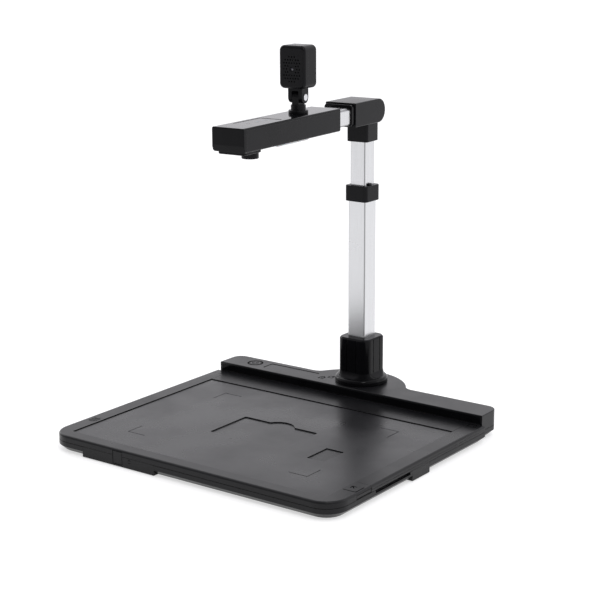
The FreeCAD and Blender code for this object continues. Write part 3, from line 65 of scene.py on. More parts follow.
class Finish:
    """Node material around one Principled shader, textured in object space."""

    def __init__(self, name):
        self.material = bpy.data.materials.new(name)
        self.material.use_nodes = True
        self.tree = self.material.node_tree
        self.shader = self.tree.nodes["Principled BSDF"]

    def node(self, kind, **values):
        """New node with some of its inputs set to constants."""
        made = self.tree.nodes.new(kind)
        for name, value in values.items():
            made.inputs[name].default_value = value
        return made

    def link(self, source, target):
        """Join an output to an input."""
        self.tree.links.new(source, target)

    def feed(self, **sources):
        """Link outputs to shader sockets."""
        for name, source in sources.items():
            self.link(source, self.shader.inputs[name.replace("_", " ")])

    def constant(self, **values):
        """Set shader sockets to constants."""
        for name, value in values.items():
            self.shader.inputs[name.replace("_", " ")].default_value = value

    def operate(self, kind, operation, *sources):
        """Outputs of a math node whose inputs are linked in order."""
        made = self.tree.nodes.new(kind)
        made.operation = operation
        for index, source in enumerate(sources):
            self.link(source, made.inputs[index])
        return made.outputs

    def place(self, stretch=(1, 1, 1)):
        """Object coordinates, stretched along an axis where a finish has a direction."""
        source = self.node("ShaderNodeTexCoord").outputs["Object"]
        mapping = self.node("ShaderNodeMapping", Scale=stretch)
        self.link(source, mapping.inputs["Vector"])
        return mapping.outputs["Vector"]

    def noise(self, size, detail=2.0, stretch=(1, 1, 1)):
        """Noise with features of about the given size in metres."""
        texture = self.node("ShaderNodeTexNoise", Scale=1 / size, Detail=detail)
        self.link(self.place(stretch), texture.inputs["Vector"])
        return texture.outputs["Fac"]

    def cells(self, size):
        """Distance to the nearest cell centre, for pebbled grain."""
        texture = self.node("ShaderNodeTexVoronoi", Scale=1 / size)
        self.link(self.place(), texture.inputs["Vector"])
        return texture.outputs["Distance"]

    def waves(self, size, axis):
        """Straight ridges with the given spacing in metres."""
        texture = self.node("ShaderNodeTexWave", Scale=WAVE_PERIOD / size)
        texture.bands_direction = axis
        self.link(self.place(), texture.inputs["Vector"])
        return texture.outputs["Fac"]

    def ramp(self, source, start, end, low=0.0, high=1.0):
        """Map start to end of a value onto low to high."""
        mapped = self.node("ShaderNodeMapRange", **{"From Min": start, "From Max": end,
                                                    "To Min": low, "To Max": high})
        self.link(source, mapped.inputs["Value"])
        return mapped.outputs["Result"]

    def spread(self, pattern, low=0.0, high=1.0):
        """Map the usual range of a pattern onto a range of values."""
        return self.ramp(pattern, *NOISE_RANGE, low, high)

    def rim(self, blend):
        """Near 0 where the surface faces the eye and near 1 at its rim."""
        return self.node("ShaderNodeLayerWeight", Blend=blend).outputs["Facing"]

    def edge_mask(self, bevelled):
        """About 1 on the edges and corners of a piece and 0 on its flats."""
        true_normal = self.node("ShaderNodeNewGeometry").outputs["True Normal"]
        dot = self.operate("ShaderNodeVectorMath", "DOT_PRODUCT", bevelled, true_normal)
        return self.ramp(dot["Value"], *EDGE_COSINES)

    def corner_mask(self):
        """About 1 on the rounded corners of a square bar and 0 on its flats."""
        turn = self.tree.nodes.new("ShaderNodeVectorTransform")
        turn.vector_type = "NORMAL"
        turn.convert_from = "WORLD"
        turn.convert_to = "OBJECT"
        self.link(self.node("ShaderNodeNewGeometry").outputs["Normal"], turn.inputs["Vector"])
        absolute = self.operate("ShaderNodeVectorMath", "ABSOLUTE", turn.outputs["Vector"])
        split = self.node("ShaderNodeSeparateXYZ")
        self.link(absolute["Vector"], split.inputs["Vector"])
        largest = split.outputs["X"]
        for axis in ("Y", "Z"):
            largest = self.operate("ShaderNodeMath", "MAXIMUM", largest,
                                   split.outputs[axis])["Value"]
        return self.ramp(largest, *CORNER_COSINES)

    def mixed(self, factor, first, second):
        """Blend of two colours or colour outputs."""
        mix = self.tree.nodes.new("ShaderNodeMix")
        mix.data_type = "RGBA"
        self.link(factor, mix.inputs["Factor"])
        for socket, value in ((mix.inputs["A"], first), (mix.inputs["B"], second)):
            if isinstance(value, tuple):
                socket.default_value = (*value, 1.0)
            else:
                self.link(value, socket)
        return mix.outputs["Result"]

    def bump(self, height, depth, below=None):
        """Bump of the given depth in metres, on top of another normal."""
        made = self.node("ShaderNodeBump", Strength=1.0, Distance=depth)
        self.link(height, made.inputs["Height"])
        if below is not None:
            self.link(below, made.inputs["Normal"])
        return made.outputs["Normal"]

    def soft_edges(self, radius):
        """Normal that rounds the piece's sharp edges."""
        return self.node("ShaderNodeBevel", Radius=radius).outputs["Normal"]


def moulded_plastic(name, dark, light, roughness, grain, depth, **constants):
    """Injection-moulded plastic: fine eroded grain, cloudy gloss and a painted highlight that makes the edges
    paler.
    """
    edge_radius = 0.25 * MM
    cloud_size = 34 * MM
    speck_share, speck_gain = 0.35, 1.7
    # gain and lift of the painted highlight on the edges
    painted_edge_highlight_gain, painted_edge_highlight_lift = 1.6, 0.008
    pebble_size, pebble_depth = 1.8 * grain, 0.6 * depth
    made = Finish(name)
    rounded = made.soft_edges(edge_radius)
    cloud = made.noise(cloud_size, detail=3.0)
    speck = made.noise(grain, detail=3.0)
    body = made.mixed(made.spread(cloud), dark, light)
    body = made.mixed(made.spread(speck, 0.0, speck_share), body, scaled(light, speck_gain))
    # painted highlight: the base colour is made paler on the piece's edges
    body = made.mixed(made.edge_mask(rounded), body, scaled(light, painted_edge_highlight_gain, painted_edge_highlight_lift))
    normal = made.bump(speck, depth, rounded)
    normal = made.bump(made.cells(pebble_size), pebble_depth, normal)
    made.feed(Base_Color=body, Roughness=made.spread(cloud, *roughness), Normal=normal)
    made.constant(**constants)
    return made.material


def polished_plastic(name, dark, light, roughness, **constants):
    """Glossy moulded plastic with faint hairline wipe marks."""
    edge_radius = 0.35 * MM
    hair_size, hair_stretch = 1.2 * MM, (1.0, 1.0, 0.04)
    cloud_size, ripple_depth = 22 * MM, 0.02 * MM
    made = Finish(name)
    hair = made.noise(hair_size, detail=4.0, stretch=hair_stretch)
    cloud = made.noise(cloud_size)
    made.feed(Base_Color=made.mixed(made.spread(cloud), dark, light),
              Roughness=made.spread(hair, *roughness),
              Normal=made.bump(cloud, ripple_depth, made.soft_edges(edge_radius)))
    made.constant(**constants)
    return made.material


def anodised(name, tint, roughness):
    """Satin anodised aluminium, brushed along the mast, with painted shade darkening its rounded corners."""
    line_size, line_stretch, line_depth = 0.35 * MM, (1.0, 1.0, 0.01), 0.003 * MM
    cloud_size = 60 * MM
    # the last gain sets how dark the painted shade on the rounded corners is
    dull_gain, bright_gain, painted_corner_shade_gain = 0.94, 1.05, 0.42
    made = Finish(name)
    lines = made.noise(line_size, detail=3.0, stretch=line_stretch)
    cloud = made.noise(cloud_size, detail=1.0)
    body = made.mixed(made.spread(lines), scaled(tint, dull_gain), scaled(tint, bright_gain))
    # painted shade: the base colour is darkened on the mast's rounded corners
    body = made.mixed(made.corner_mask(), body, scaled(tint, painted_corner_shade_gain))
    made.feed(Base_Color=body, Roughness=made.spread(cloud, *roughness),
              Normal=made.bump(lines, line_depth))
    made.constant(Metallic=1.0)
    return made.material


def plated_steel(name, tint, roughness):
    """Plated steel with fine turning marks."""
    mark_size, mark_stretch, mark_depth = 0.25 * MM, (1.0, 1.0, 0.15), 0.008 * MM
    edge_radius = 0.15 * MM
    dull_gain = 0.85
    made = Finish(name)
    marks = made.noise(mark_size, stretch=mark_stretch)
    made.feed(Base_Color=made.mixed(made.spread(marks), scaled(tint, dull_gain), tint),
              Roughness=made.spread(marks, *roughness),
              Normal=made.bump(marks, mark_depth, made.soft_edges(edge_radius)))
    made.constant(Metallic=1.0)
    return made.material


def milky(name, dark, light, painted_rim_shade, roughness):
    """White diffusing plastic with fine prism ridges inside, darkened towards its rim by painted shade."""
    ridge_size, ridge_depth = 0.8 * MM, 0.03 * MM
    edge_radius = 0.2 * MM
    cloud_size = 8 * MM
    rim_blend = 0.4
    made = Finish(name)
    cloud = made.noise(cloud_size)
    body = made.mixed(made.spread(cloud), dark, light)
    # painted shade: the base colour darkens towards the rim as the surface turns from the eye
    body = made.mixed(made.rim(rim_blend), body, painted_rim_shade)
    ridges = made.bump(made.waves(ridge_size, "Y"), ridge_depth, made.soft_edges(edge_radius))
    made.feed(Base_Color=body, Roughness=made.spread(cloud, *roughness), Normal=ridges)
    made.constant(Subsurface_Weight=0.25, Subsurface_Scale=0.002)
    return made.material


def coated_glass(name, deep, tint, roughness):
    """Dark coated optical glass with a painted reflection: the coating's coloured reflection is painted into the
    base colour towards the rim.
    """
    dust_size = 1.5 * MM
    rim_blend = 0.35
    made = Finish(name)
    dust = made.noise(dust_size, detail=4.0)
    # painted reflection: the coating's tint is mixed into the base colour towards the rim
    made.feed(Base_Color=made.mixed(made.rim(rim_blend), deep, tint),
              Roughness=made.spread(dust, *roughness))
    made.constant(Coat_Weight=1.0, Coat_Roughness=0.03, IOR=1.6)
    return made.material


def solder_mask(name, dark, light, land_colour, roughness):
    """Solder mask with pale pads and a woven glass grain."""
    weave_size = 0.9 * MM
    land_spacing = 2.2 * MM
    land_edge, land_core = 0.16, 0.12
    made = Finish(name)
    weave = made.waves(weave_size, "X")
    lands = made.ramp(made.cells(land_spacing), land_edge, land_core)
    body = made.mixed(made.spread(weave), dark, light)
    made.feed(Base_Color=made.mixed(lands, body, land_colour),
              Roughness=made.spread(weave, *roughness))
    return made.material


def rubber(name, dark, light, roughness):
    """Matte foot rubber with moulded pips."""
    pip_size, pip_depth = 1.1 * MM, 0.12 * MM
    made = Finish(name)
    pips = made.cells(pip_size)
    made.feed(Base_Color=made.mixed(made.spread(pips), dark, light),
              Roughness=made.spread(pips, *roughness),
              Normal=made.bump(pips, pip_depth))
    return made.material


def soft_touch_sheet(name, dark, light, speck_colour, roughness):
    """Rubbery coated sheet of the pad: leather-fine grain and faint wiping clouds."""
    cloud_size, grain_size, speck_size = 60 * MM, 0.7 * MM, 0.4 * MM
    grain_depth = 0.003 * MM
    edge_radius = 0.2 * MM
    speck_share = 0.5
    made = Finish(name)
    cloud = made.noise(cloud_size, detail=4.0)
    speck = made.noise(speck_size, detail=3.0)
    body = made.mixed(made.spread(cloud), dark, light)
    body = made.mixed(made.spread(speck, 0.0, speck_share), body, speck_colour)
    normal = made.bump(made.cells(grain_size), grain_depth, made.soft_edges(edge_radius))
    normal = made.bump(speck, grain_depth, normal)
    made.feed(Base_Color=body, Roughness=made.spread(cloud, *roughness), Normal=normal)
    made.constant(Specular_IOR_Level=0.24, Coat_Weight=0.05, Coat_Roughness=0.28)
    return made.material


FINISHES = {
    "base_plastic": moulded_plastic("base_plastic", (0.005, 0.005, 0.0055), (0.008, 0.008, 0.009),
                                    roughness=(0.27, 0.36), grain=0.45 * MM, depth=0.005 * MM,
                                    Specular_IOR_Level=0.20),
    "head_plastic": moulded_plastic("head_plastic", (0.004, 0.004, 0.0045), (0.006, 0.006, 0.007),
                                    roughness=(0.24, 0.31), grain=0.4 * MM, depth=0.005 * MM,
                                    Specular_IOR_Level=0.11),
    "inner_plastic": moulded_plastic("inner_plastic", (0.02, 0.02, 0.022), (0.03, 0.03, 0.032),
                                     roughness=(0.5, 0.6), grain=0.6 * MM, depth=0.02 * MM),
    "pad_sheet": soft_touch_sheet("pad_sheet", (0.005, 0.005, 0.006), (0.010, 0.010, 0.0115),
                                  speck_colour=(0.016, 0.016, 0.018), roughness=(0.21, 0.38)),
    "gloss_black": polished_plastic("gloss_black", (0.003, 0.003, 0.0035), (0.005, 0.005, 0.006),
                                    roughness=(0.06, 0.12), Specular_IOR_Level=0.10),
    "milky_plastic": milky("milky_plastic", (0.62, 0.64, 0.67), (0.70, 0.71, 0.73),
                           painted_rim_shade=(0.22, 0.23, 0.25), roughness=(0.22, 0.34)),
    "indicator_tint": polished_plastic("indicator_tint", (0.012, 0.012, 0.013),
                                       (0.020, 0.020, 0.022), roughness=(0.15, 0.25)),
    "window_glass": polished_plastic("window_glass", (0.004, 0.004, 0.005), (0.007, 0.007, 0.008),
                                     roughness=(0.26, 0.34), Specular_IOR_Level=0.18),
    "optic_glass": coated_glass("optic_glass", (0.004, 0.004, 0.010), (0.05, 0.03, 0.12),
                                roughness=(0.02, 0.07)),
    "circuit_board": solder_mask("circuit_board", (0.008, 0.07, 0.03), (0.012, 0.10, 0.045),
                                 land_colour=(0.55, 0.52, 0.40), roughness=(0.25, 0.4)),
    "steel": plated_steel("steel", (0.66, 0.67, 0.69), roughness=(0.22, 0.32)),
    "foot_rubber": rubber("foot_rubber", (0.010, 0.010, 0.010), (0.022, 0.022, 0.023),
                          roughness=(0.65, 0.8)),
    "mast_aluminium": anodised("mast_aluminium", (0.63, 0.635, 0.645), roughness=(0.25, 0.28)),
}
MARK_INK = moulded_plastic("mark_ink", (0.002, 0.002, 0.002), (0.004, 0.004, 0.004),
                           roughness=(0.8, 0.9), grain=0.3 * MM, depth=0.005 * MM,
                           Specular_IOR_Level=0.0)

for part in frame["record"]["subparts"]:
    mesh = nodes[part["node"]].data
    mesh.materials.clear()
    mesh.materials.append(FINISHES[part["material_slot"]])


# ---------------------------------------------------------------- places
def head_frame():
    """Frame of the arm: X across it, Y forwards along it, Z up, on the mast's axis."""
    forward = Vector(joints["arm_extend"]["axis"]).normalized()
    up = Vector((0, 0, 1))
    across = forward.cross(up)
    foot = Vector(joints["head_swivel"]["pos_m"])
    matrix = Matrix((across, forward, up)).transposed().to_4x4()
    matrix.translation = (foot.x, foot.y, 0)
    return matrix


HEAD = head_frame()


def head_box(node):
    """Lowest and highest corner of a CAD node in the arm's frame."""
    back = HEAD.inverted()
    points = [back @ vertex.co for vertex in nodes[node].data.vertices]
    low = Vector(min(point[axis] for point in points) for axis in range(3))
    high = Vector(max(point[axis] for point in points) for axis in range(3))
    return low, high


def at(x, y, z, turn=0.0):
    """Frame at a point, turned about Z by degrees."""
    return Matrix.Translation((x, y, z)) @ Matrix.Rotation(math.radians(turn), 4, "Z")


# ---------------------------------------------------------------- mesh helpers
SHARP_ANGLE = math.radians(32)
WELD_DISTANCE = 1e-7
RIBBON_TOP_SHARE = 0.75     # width of a raised line's flat top
SHARPEST_MITRE = 0.5


def add_piece(name, mesh_data, matrix, body, material):
    """Turn a bmesh into a piece that rides on a body."""
    bmesh.ops.recalc_face_normals(mesh_data, faces=mesh_data.faces)
    mesh_data.transform(matrix)
    mesh = bpy.data.meshes.new(name)
    mesh_data.to_mesh(mesh)
    mesh_data.free()
    mesh.shade_smooth()
    mesh.set_sharp_from_angle(angle=SHARP_ANGLE)
    mesh.materials.append(material)
    piece = bpy.data.objects.new(name, mesh)
    bpy.context.scene.collection.objects.link(piece)
    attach(piece, body)


def arc_points(radius, from_deg, to_deg, count=24, centre=(0.0, 0.0)):
    """Points on an arc."""
    points = []
    for step in range(count + 1):
        angle = math.radians(from_deg + (to_deg - from_deg) * step / count)
        points.append((centre[0] + radius * math.cos(angle), centre[1] + radius * math.sin(angle)))
    return points


def ribbon_directions(points, index, closed):
    """Directions of the line before and after one of its points."""
    here = Vector(points[index])
    incoming = outgoing = None
    if closed or index > 0:
        incoming = (here - Vector(points[index - 1])).normalized()
    if closed or index < len(points) - 1:
        outgoing = (Vector(points[(index + 1) % len(points)]) - here).normalized()
    return incoming or outgoing, outgoing or incoming


def add_ribbon(mesh_data, points, width, height, closed=False):
    """Flat raised line with chamfered edges along plan points."""
    rings = []
    for index, point in enumerate(points):
        incoming, outgoing = ribbon_directions(points, index, closed)
        tangent = (incoming + outgoing).normalized()
        side = Vector((-tangent.y, tangent.x))
        mitre = 1 / max(SHARPEST_MITRE, side.dot(Vector((-incoming.y, incoming.x))))
        half = width / 2 * mitre
        ring = []
        for share, level in ((-1.0, 0.0), (-RIBBON_TOP_SHARE, height),
                             (RIBBON_TOP_SHARE, height), (1.0, 0.0)):
            corner = Vector(point) + side * half * share
            ring.append(mesh_data.verts.new((corner.x, corner.y, level)))
        rings.append(ring)
    following_rings = rings[1:] + rings[:1] if closed else rings[1:]
    for first, second in zip(rings, following_rings):
        for corner in range(4):
            following = (corner + 1) % 4
            mesh_data.faces.new((first[corner], first[following], second[following],
                                 second[corner]))
    if not closed:
        mesh_data.faces.new(rings[0])
        mesh_data.faces.new(rings[-1])


def add_lines(name, lines, width, height, matrix, body, material=MARK_INK):
    """Piece made of several raised lines; each line is (points, closed)."""
    mesh_data = bmesh.new()
    for points, closed in lines:
        add_ribbon(mesh_data, points, width, height, closed)
    add_piece(name, mesh_data, matrix, body, material)


def add_lathe(name, profile, matrix, body, slot, segments=72):
    """Piece turned about its own Z axis from (radius, height) points."""
    mesh_data = bmesh.new()
    vertices = [mesh_data.verts.new((radius, 0, height)) for radius, height in profile]
    edges = [mesh_data.edges.new(pair) for pair in zip(vertices, vertices[1:])]
    bmesh.ops.spin(mesh_data, geom=vertices + edges, cent=(0, 0, 0), axis=(0, 0, 1),
                   angle=2 * math.pi, steps=segments, use_merge=True)
    bmesh.ops.remove_doubles(mesh_data, verts=mesh_data.verts, dist=WELD_DISTANCE)
    add_piece(name, mesh_data, matrix, body, FINISHES[slot])


def add_plate(name, size, height, corner, matrix, body, slot):
    """Thin plate with round corners and a chamfered upper edge."""
    chamfer = 0.3 * height
    mesh_data = bmesh.new()
    half_w, half_d = size[0] / 2, size[1] / 2
    outline = []
    for quarter, (sign_x, sign_y) in enumerate(((1, 1), (-1, 1), (-1, -1), (1, -1))):
        centre = (sign_x * (half_w - corner), sign_y * (half_d - corner))
        outline += arc_points(corner, 90 * quarter, 90 * quarter + 90, 8, centre)
    rings = []
    for inset, level in ((0.0, 0.0), (0.0, height - chamfer), (chamfer, height)):
        ring = []
        for x, y in outline:
            ring.append(mesh_data.verts.new((x * (1 - inset / half_w), y * (1 - inset / half_d),
                                             level)))
        rings.append(ring)
    for lower, upper in zip(rings, rings[1:]):
        for index in range(len(outline)):
            following = (index + 1) % len(outline)
            mesh_data.faces.new((lower[index], lower[following], upper[following], upper[index]))
    mesh_data.faces.new(rings[0])
    mesh_data.faces.new(rings[-1])
    add_piece(name, mesh_data, matrix, body, FINISHES[slot])


# ---------------------------------------------------------------- details on the base
MARK_HEIGHT = 0.05 * MM
MARK_WIDTH = 1.1 * MM


def power_marks():
    """Ring with a bar on the power button, and a dark line on the ring round it."""
    arc_radius, arc_from, arc_to = 3.1 * MM, 125, 415
    bar_foot, bar_top = 1.0 * MM, 4.6 * MM
    outline_inset, outline_width, outline_points = 0.9 * MM, 1.5 * MM, 48
    low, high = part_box("power_button")
    centre = (low + high) / 2
    lines = [(arc_points(arc_radius, arc_from, arc_to, 40), False),
             ([(0, bar_foot), (0, bar_top)], False)]
    add_lines("power_symbol", lines, MARK_WIDTH, MARK_HEIGHT, at(centre.x, centre.y, high.z),
              "power_button")
    ring_low, ring_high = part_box("power_ring")
    radius = (ring_high.x - ring_low.x) / 2 - outline_inset
    outline = arc_points(radius, 0, 360, outline_points)[:-1]
    add_lines("power_outline", [(outline, True)], outline_width, MARK_HEIGHT,
              at(centre.x, centre.y, ring_high.z), "base")


def lock_marks():
    """Two small padlock marks beside the socket: one closed and one open."""
    half, shackle = 2.6 * MM, 1.7 * MM
    keyhole = 0.9 * MM
    shackle_shift = 2.0 * MM
    gap_beside, depth_beside = 3.6 * MM, 13.5 * MM
    closed_left, closed_front, open_back = 7 * MM, 4 * MM, 3 * MM
    socket_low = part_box("mast_socket")[0]
    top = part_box("bar_cover")[1].z
    x, y = socket_low.x - gap_beside, socket_low.y + depth_beside
    square = [(-half, -half), (half, -half), (half, half), (-half, half)]
    closed = [(square, True), ([(0, -keyhole), (0, keyhole)], False),
              (arc_points(shackle, 0, 180, 16, (0, half)), False)]
    add_lines("lock_mark_closed", closed, MARK_WIDTH, MARK_HEIGHT,
              at(x - closed_left, y - closed_front, top), "base")
    opened = [(square, True), (arc_points(shackle, 60, 240, 16, (shackle_shift, half)), False)]
    add_lines("lock_mark_open", opened, MARK_WIDTH, MARK_HEIGHT, at(x, y + open_back, top),
              "base")


def page_outline(half_w, half_h, fold):
    """Upright page with a folded corner."""
    return [(-half_w, -half_h), (half_w - fold, -half_h), (half_w, fold - half_h),
            (half_w, half_h), (-half_w, half_h)]


def corner_marks():
    """Page, arrow and frame marks on the deck at the pad's front and right-hand corners."""
    margin_share = 0.42
    rail_gap_front, rail_gap_rear = 9 * MM, 5.2 * MM
    pad_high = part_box("document_pad")[1]
    deck_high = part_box("top_deck")[1]
    rail_low, rail_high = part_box("side_rail_right")
    x = pad_high.x + (deck_high.x - pad_high.x) * margin_share
    page = page_outline(3.4 * MM, 4.4 * MM, 2.2 * MM)
    text_half, first_line, line_step = 1.8 * MM, -1.8 * MM, 2.2 * MM
    text_lines = []
    for index in range(3):
        level = first_line + index * line_step
        text_lines.append(([(-text_half, level), (text_half, level)], False))
    head_half, head_foot, tip, tail = 2.8 * MM, -1.2 * MM, 2.2 * MM, -3.4 * MM
    arrow = [([(-head_half, head_foot), (0, tip), (head_half, head_foot)], False),
             ([(0, tail), (0, tip)], False)]
    reach = 6.5 * MM
    angle = [([(-reach, 0), (reach, 0), (reach, 2 * reach)], False)]
    front_y = rail_low.y - rail_gap_front
    rear_y = rail_high.y + rail_gap_rear
    spots = (
        ("page_front_left", [(page, True)] + text_lines, -x, front_y + 2 * MM, 0),
        ("arrow_front_right", arrow, x - 1 * MM, front_y - 3 * MM, 45),
        ("frame_front_right", angle, x + 1 * MM, front_y - 12 * MM, 0),
        ("page_rear_right", [(page, True)] + text_lines[:1], x, rear_y, 90),
    )
    for name, lines, place_x, place_y, turn in spots:
        add_lines(name, lines, MARK_WIDTH, MARK_HEIGHT,
                  at(place_x, place_y, deck_high.z, turn), "base")


def latch_marks():
    """Small arrow over a bar, beside the release button."""
    half, line_width, distance = 1.5 * MM, 0.5 * MM, 9 * MM
    wing_level, tip_level, bar_level = -0.6 * half, 0.7 * half, -1.7 * half
    low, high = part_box("latch_button")
    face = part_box("front_module")[0].y
    upright = Matrix.Rotation(math.pi / 2, 4, "X")
    spot = Matrix.Translation((high.x + distance, face, (low.z + high.z) / 2)) @ upright
    lines = [([(-half, wing_level), (0, tip_level), (half, wing_level)], False),
             ([(-half, bar_level), (half, bar_level)], False)]
    add_lines("latch_mark", lines, line_width, MARK_HEIGHT, spot, "base")


def underside():
    """Blank rating plate, stiffening frame and vent bars under the bottom shell."""
    plate_size, plate_height, plate_corner = (74 * MM, 38 * MM), 0.25 * MM, 2.5 * MM
    plate_x = 20 * MM
    frame_width, frame_height = 2.4 * MM, 0.35 * MM
    frame_margin, frame_rear_margin = 30 * MM, 24 * MM
    bar_count, bar_step, bar_half = 9, 6 * MM, 9 * MM
    bar_width, bar_height = 2.2 * MM, 0.2 * MM
    front_row, rear_row = 28 * MM, 26 * MM
    low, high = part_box("bottom_shell")
    flip = Matrix.Rotation(math.pi, 4, "X")
    add_plate("rating_plate", plate_size, plate_height, plate_corner,
              at(plate_x, 0.0, low.z) @ flip, "base", "gloss_black")
    half_x = high.x - frame_margin
    low_y = low.y + frame_margin
    high_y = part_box("top_deck")[1].y - frame_rear_margin
    flipped = [(-half_x, -low_y), (half_x, -low_y), (half_x, -high_y), (-half_x, -high_y)]
    add_lines("stiffening_frame", [(flipped, True)], frame_width, frame_height,
              at(0, 0, low.z) @ flip, "base", FINISHES["base_plastic"])
    bars = []
    for index in range(bar_count):
        x = (index - bar_count // 2) * bar_step
        bars.append(([(x, -bar_half), (x, bar_half)], False))
    for row, y in (("front", low_y + front_row), ("rear", high_y - rear_row)):
        add_lines("vent_bars_" + row, bars, bar_width, bar_height, at(0, y, low.z) @ flip, "base")


# ---------------------------------------------------------------- details on the head
def touch_icons():
    """Three generic key marks on the arm's touch panel: light, more and less."""
    radius, line_width, line_height = 3.0 * MM, 0.35 * MM, 0.03 * MM
    nearly_round = 345
    sun_share, ray_from, ray_to, ray_count = 0.45, 0.62, 0.9, 8
    keys_per_panel = 3.4
    sign_half = 0.5 * radius
    low, high = head_box("touch_panel")
    middle = (low + high) / 2
    step = (high.y - low.y) / keys_per_panel
    ring = [(arc_points(radius, 0, nearly_round, 32), True)]
    sun = [(arc_points(radius * sun_share, 0, nearly_round, 20), True)]
    for index in range(ray_count):
        angle = math.radians(360 / ray_count * index)
        inner, outer = radius * ray_from, radius * ray_to
        sun.append(([(inner * math.cos(angle), inner * math.sin(angle)),
                     (outer * math.cos(angle), outer * math.sin(angle))], False))
    bar = [([(-sign_half, 0), (sign_half, 0)], False)]
    post = [([(0, -sign_half), (0, sign_half)], False)]
    keys = (("light", sun, 0.0), ("more", ring + bar + post, step), ("less", ring + bar, -step))
    for name, lines, offset in keys:
        spot = HEAD @ Matrix.Translation((middle.x, middle.y + offset, high.z))
        add_lines("key_" + name, lines, line_width, line_height, spot, "arm",
                  FINISHES["milky_plastic"])


def lens_baffle():
    """Stepped baffle inside the lens hood."""
    outer, inner, steps, lip = 6.4 * MM, 5.3 * MM, 8, 0.25 * MM
    front_margin, total_margin = 1.2 * MM, 1.6 * MM
    low, high = head_box("lens_hood")
    centre = (low + high) / 2
    depth = high.z - low.z - total_margin
    profile = []
    for step in range(steps + 1):
        share = step / steps
        radius = outer + (inner - outer) * share
        level = low.z + front_margin + depth * share
        profile.append((radius + lip, level))
        profile.append((radius, level + lip))
    add_lathe("lens_baffle", profile, HEAD @ Matrix.Translation((centre.x, centre.y, 0)), "arm",
              "head_plastic")


def lens_mount_ring():
    """Bright ring that holds the lens glass."""
    outer, land, bore = 5.15 * MM, 4.7 * MM, 4.45 * MM
    outer_drop, land_drop, bore_drop, bore_rise = 0.3 * MM, 0.35 * MM, 0.1 * MM, 0.2 * MM
    low, high = head_box("lens_hood")
    centre = (low + high) / 2
    z = head_box("lens_glass")[0].z
    profile = [(outer, z), (outer, z - outer_drop), (land, z - land_drop),
               (bore, z - bore_drop), (bore, z + bore_rise)]
    add_lathe("lens_mount_ring", profile, HEAD @ Matrix.Translation((centre.x, centre.y, 0)),
              "arm", "steel")


def aux_lens_glass():
    """Small dome in the second camera's lens."""
    radius, bulge, skirt, sunk = 2.35 * MM, 0.75 * MM, 0.4 * MM, 1.2 * MM
    steps = 8
    low, high = head_box("aux_lens")
    centre = (low + high) / 2
    profile = [(0.0, bulge)]
    for step in range(1, steps + 1):
        angle = math.radians(90 * step / steps)
        profile.append((radius * math.sin(angle), bulge * math.cos(angle)))
    profile.append((radius, -skirt))
    spot = HEAD @ Matrix.Translation((centre.x, high.y - sunk, centre.z))
    spot = spot @ Matrix.Rotation(-math.pi / 2, 4, "X")
    add_lathe("aux_lens_dome", profile, spot, "aux_camera", "optic_glass", segments=48)


power_marks()
lock_marks()
corner_marks()
latch_marks()
underside()
touch_icons()
lens_baffle()
lens_mount_ring()
aux_lens_glass()


# ---------------------------------------------------------------- floor, light and camera
FLOOR_SIZE, FLOOR_CLOUD = 60, 0.8
FLOOR_GAP = 0.2 * MM
FLOOR_TONES = ((0.58, 0.58, 0.58), (0.60, 0.60, 0.60))
ROOM_COLOUR = (0.975, 0.965, 1.0, 1.0)
ROOM_AXIS = (0.20, -0.97, -0.15)                    # points at the photographer
ROOM_SPAN, ROOM_STRENGTHS = (-0.2, 0.75), (1.2, 0.22)
CAMERA_PLACE = (0.8683, -1.1646, 0.5024)
CAMERA_YAW, CAMERA_DOWN, CAMERA_ROLL = 36.247, 14.128, -0.269
CAMERA_LENS, CAMERA_SENSOR = 94.46, 36.0


def studio_floor():
    """Plain white floor that runs out of sight, just clear of the feet's undersides."""
    bpy.ops.mesh.primitive_plane_add(size=FLOOR_SIZE)
    floor = bpy.context.object
    floor.name = "studio_floor"
    floor.location.z = -FLOOR_GAP
    made = Finish("floor_white")
    tone = made.mixed(made.spread(made.noise(FLOOR_CLOUD)), *FLOOR_TONES)
    made.feed(Base_Color=tone, Emission_Color=tone)
    made.constant(Roughness=0.9, Specular_IOR_Level=0.0, Emission_Strength=1.0)
    floor.data.materials.append(made.material)


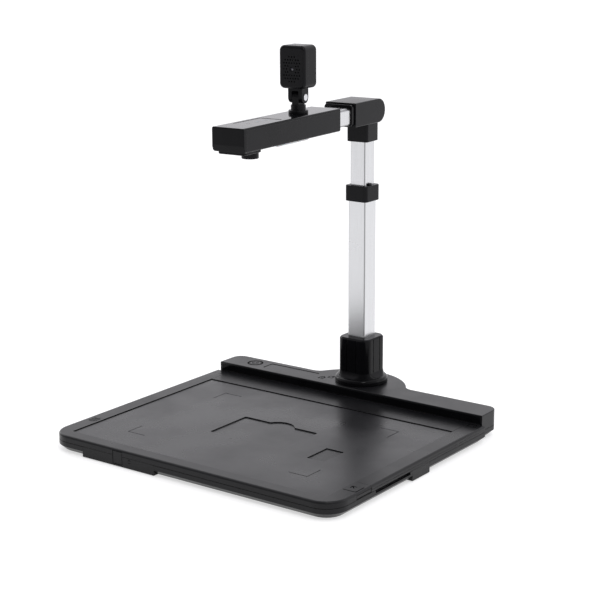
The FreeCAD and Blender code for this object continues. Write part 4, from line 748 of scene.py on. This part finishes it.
def studio_world():
    """White room, brighter behind the scanner and darker where the photographer stands."""
    world = bpy.data.worlds.new("studio")
    world.use_nodes = True
    bpy.context.scene.world = world
    tree = world.node_tree
    background = tree.nodes["Background"]
    direction = tree.nodes.new("ShaderNodeTexCoord").outputs["Generated"]
    dot = tree.nodes.new("ShaderNodeVectorMath")
    dot.operation = "DOT_PRODUCT"
    dot.inputs[1].default_value = ROOM_AXIS
    tree.links.new(direction, dot.inputs[0])
    tone = tree.nodes.new("ShaderNodeMapRange")
    names = ("From Min", "From Max", "To Min", "To Max")
    for name, value in zip(names, ROOM_SPAN + ROOM_STRENGTHS):
        tone.inputs[name].default_value = value
    tree.links.new(dot.outputs["Value"], tone.inputs["Value"])
    tree.links.new(tone.outputs["Result"], background.inputs["Strength"])
    background.inputs["Color"].default_value = ROOM_COLOUR


def soft_box(name, position, target, size, power):
    """Large soft area light that points at a spot."""
    data = bpy.data.lights.new(name, "AREA")
    data.shape = "RECTANGLE"
    data.size, data.size_y = size
    data.energy = power
    lamp = bpy.data.objects.new(name, data)
    lamp.location = position
    lamp.rotation_mode = "QUATERNION"
    aim = Vector(target) - Vector(position)
    lamp.rotation_quaternion = aim.to_track_quat("-Z", "Y")
    bpy.context.scene.collection.objects.link(lamp)


def photo_camera():
    """Long lens from the front right, slightly above the camera arm."""
    data = bpy.data.cameras.new("camera")
    data.sensor_width = CAMERA_SENSOR
    data.lens = CAMERA_LENS
    camera = bpy.data.objects.new("camera", data)
    turn = Matrix.Rotation(math.radians(CAMERA_YAW), 4, "Z")
    tilt = Matrix.Rotation(math.radians(90 - CAMERA_DOWN), 4, "X")
    roll = Matrix.Rotation(math.radians(CAMERA_ROLL), 4, "Z")
    camera.matrix_world = Matrix.Translation(CAMERA_PLACE) @ turn @ tilt @ roll
    bpy.context.scene.collection.objects.link(camera)
    bpy.context.scene.camera = camera


studio_floor()
studio_world()
soft_box("key_right", position=(1.7, 1.1, 0.9), target=(0, 0.05, 0.2), size=(0.7, 1.0), power=2.5)
soft_box("top_front", position=(0.9, -0.7, 1.6), target=(0, -0.05, 0.1), size=(0.35, 0.35), power=6)
soft_box("strip_left", position=(-1.5, 0.4, 0.9), target=(0, 0.1, 0.15), size=(0.3, 1.3), power=3)
photo_camera()
bpy.context.scene.view_settings.view_transform = "Standard"
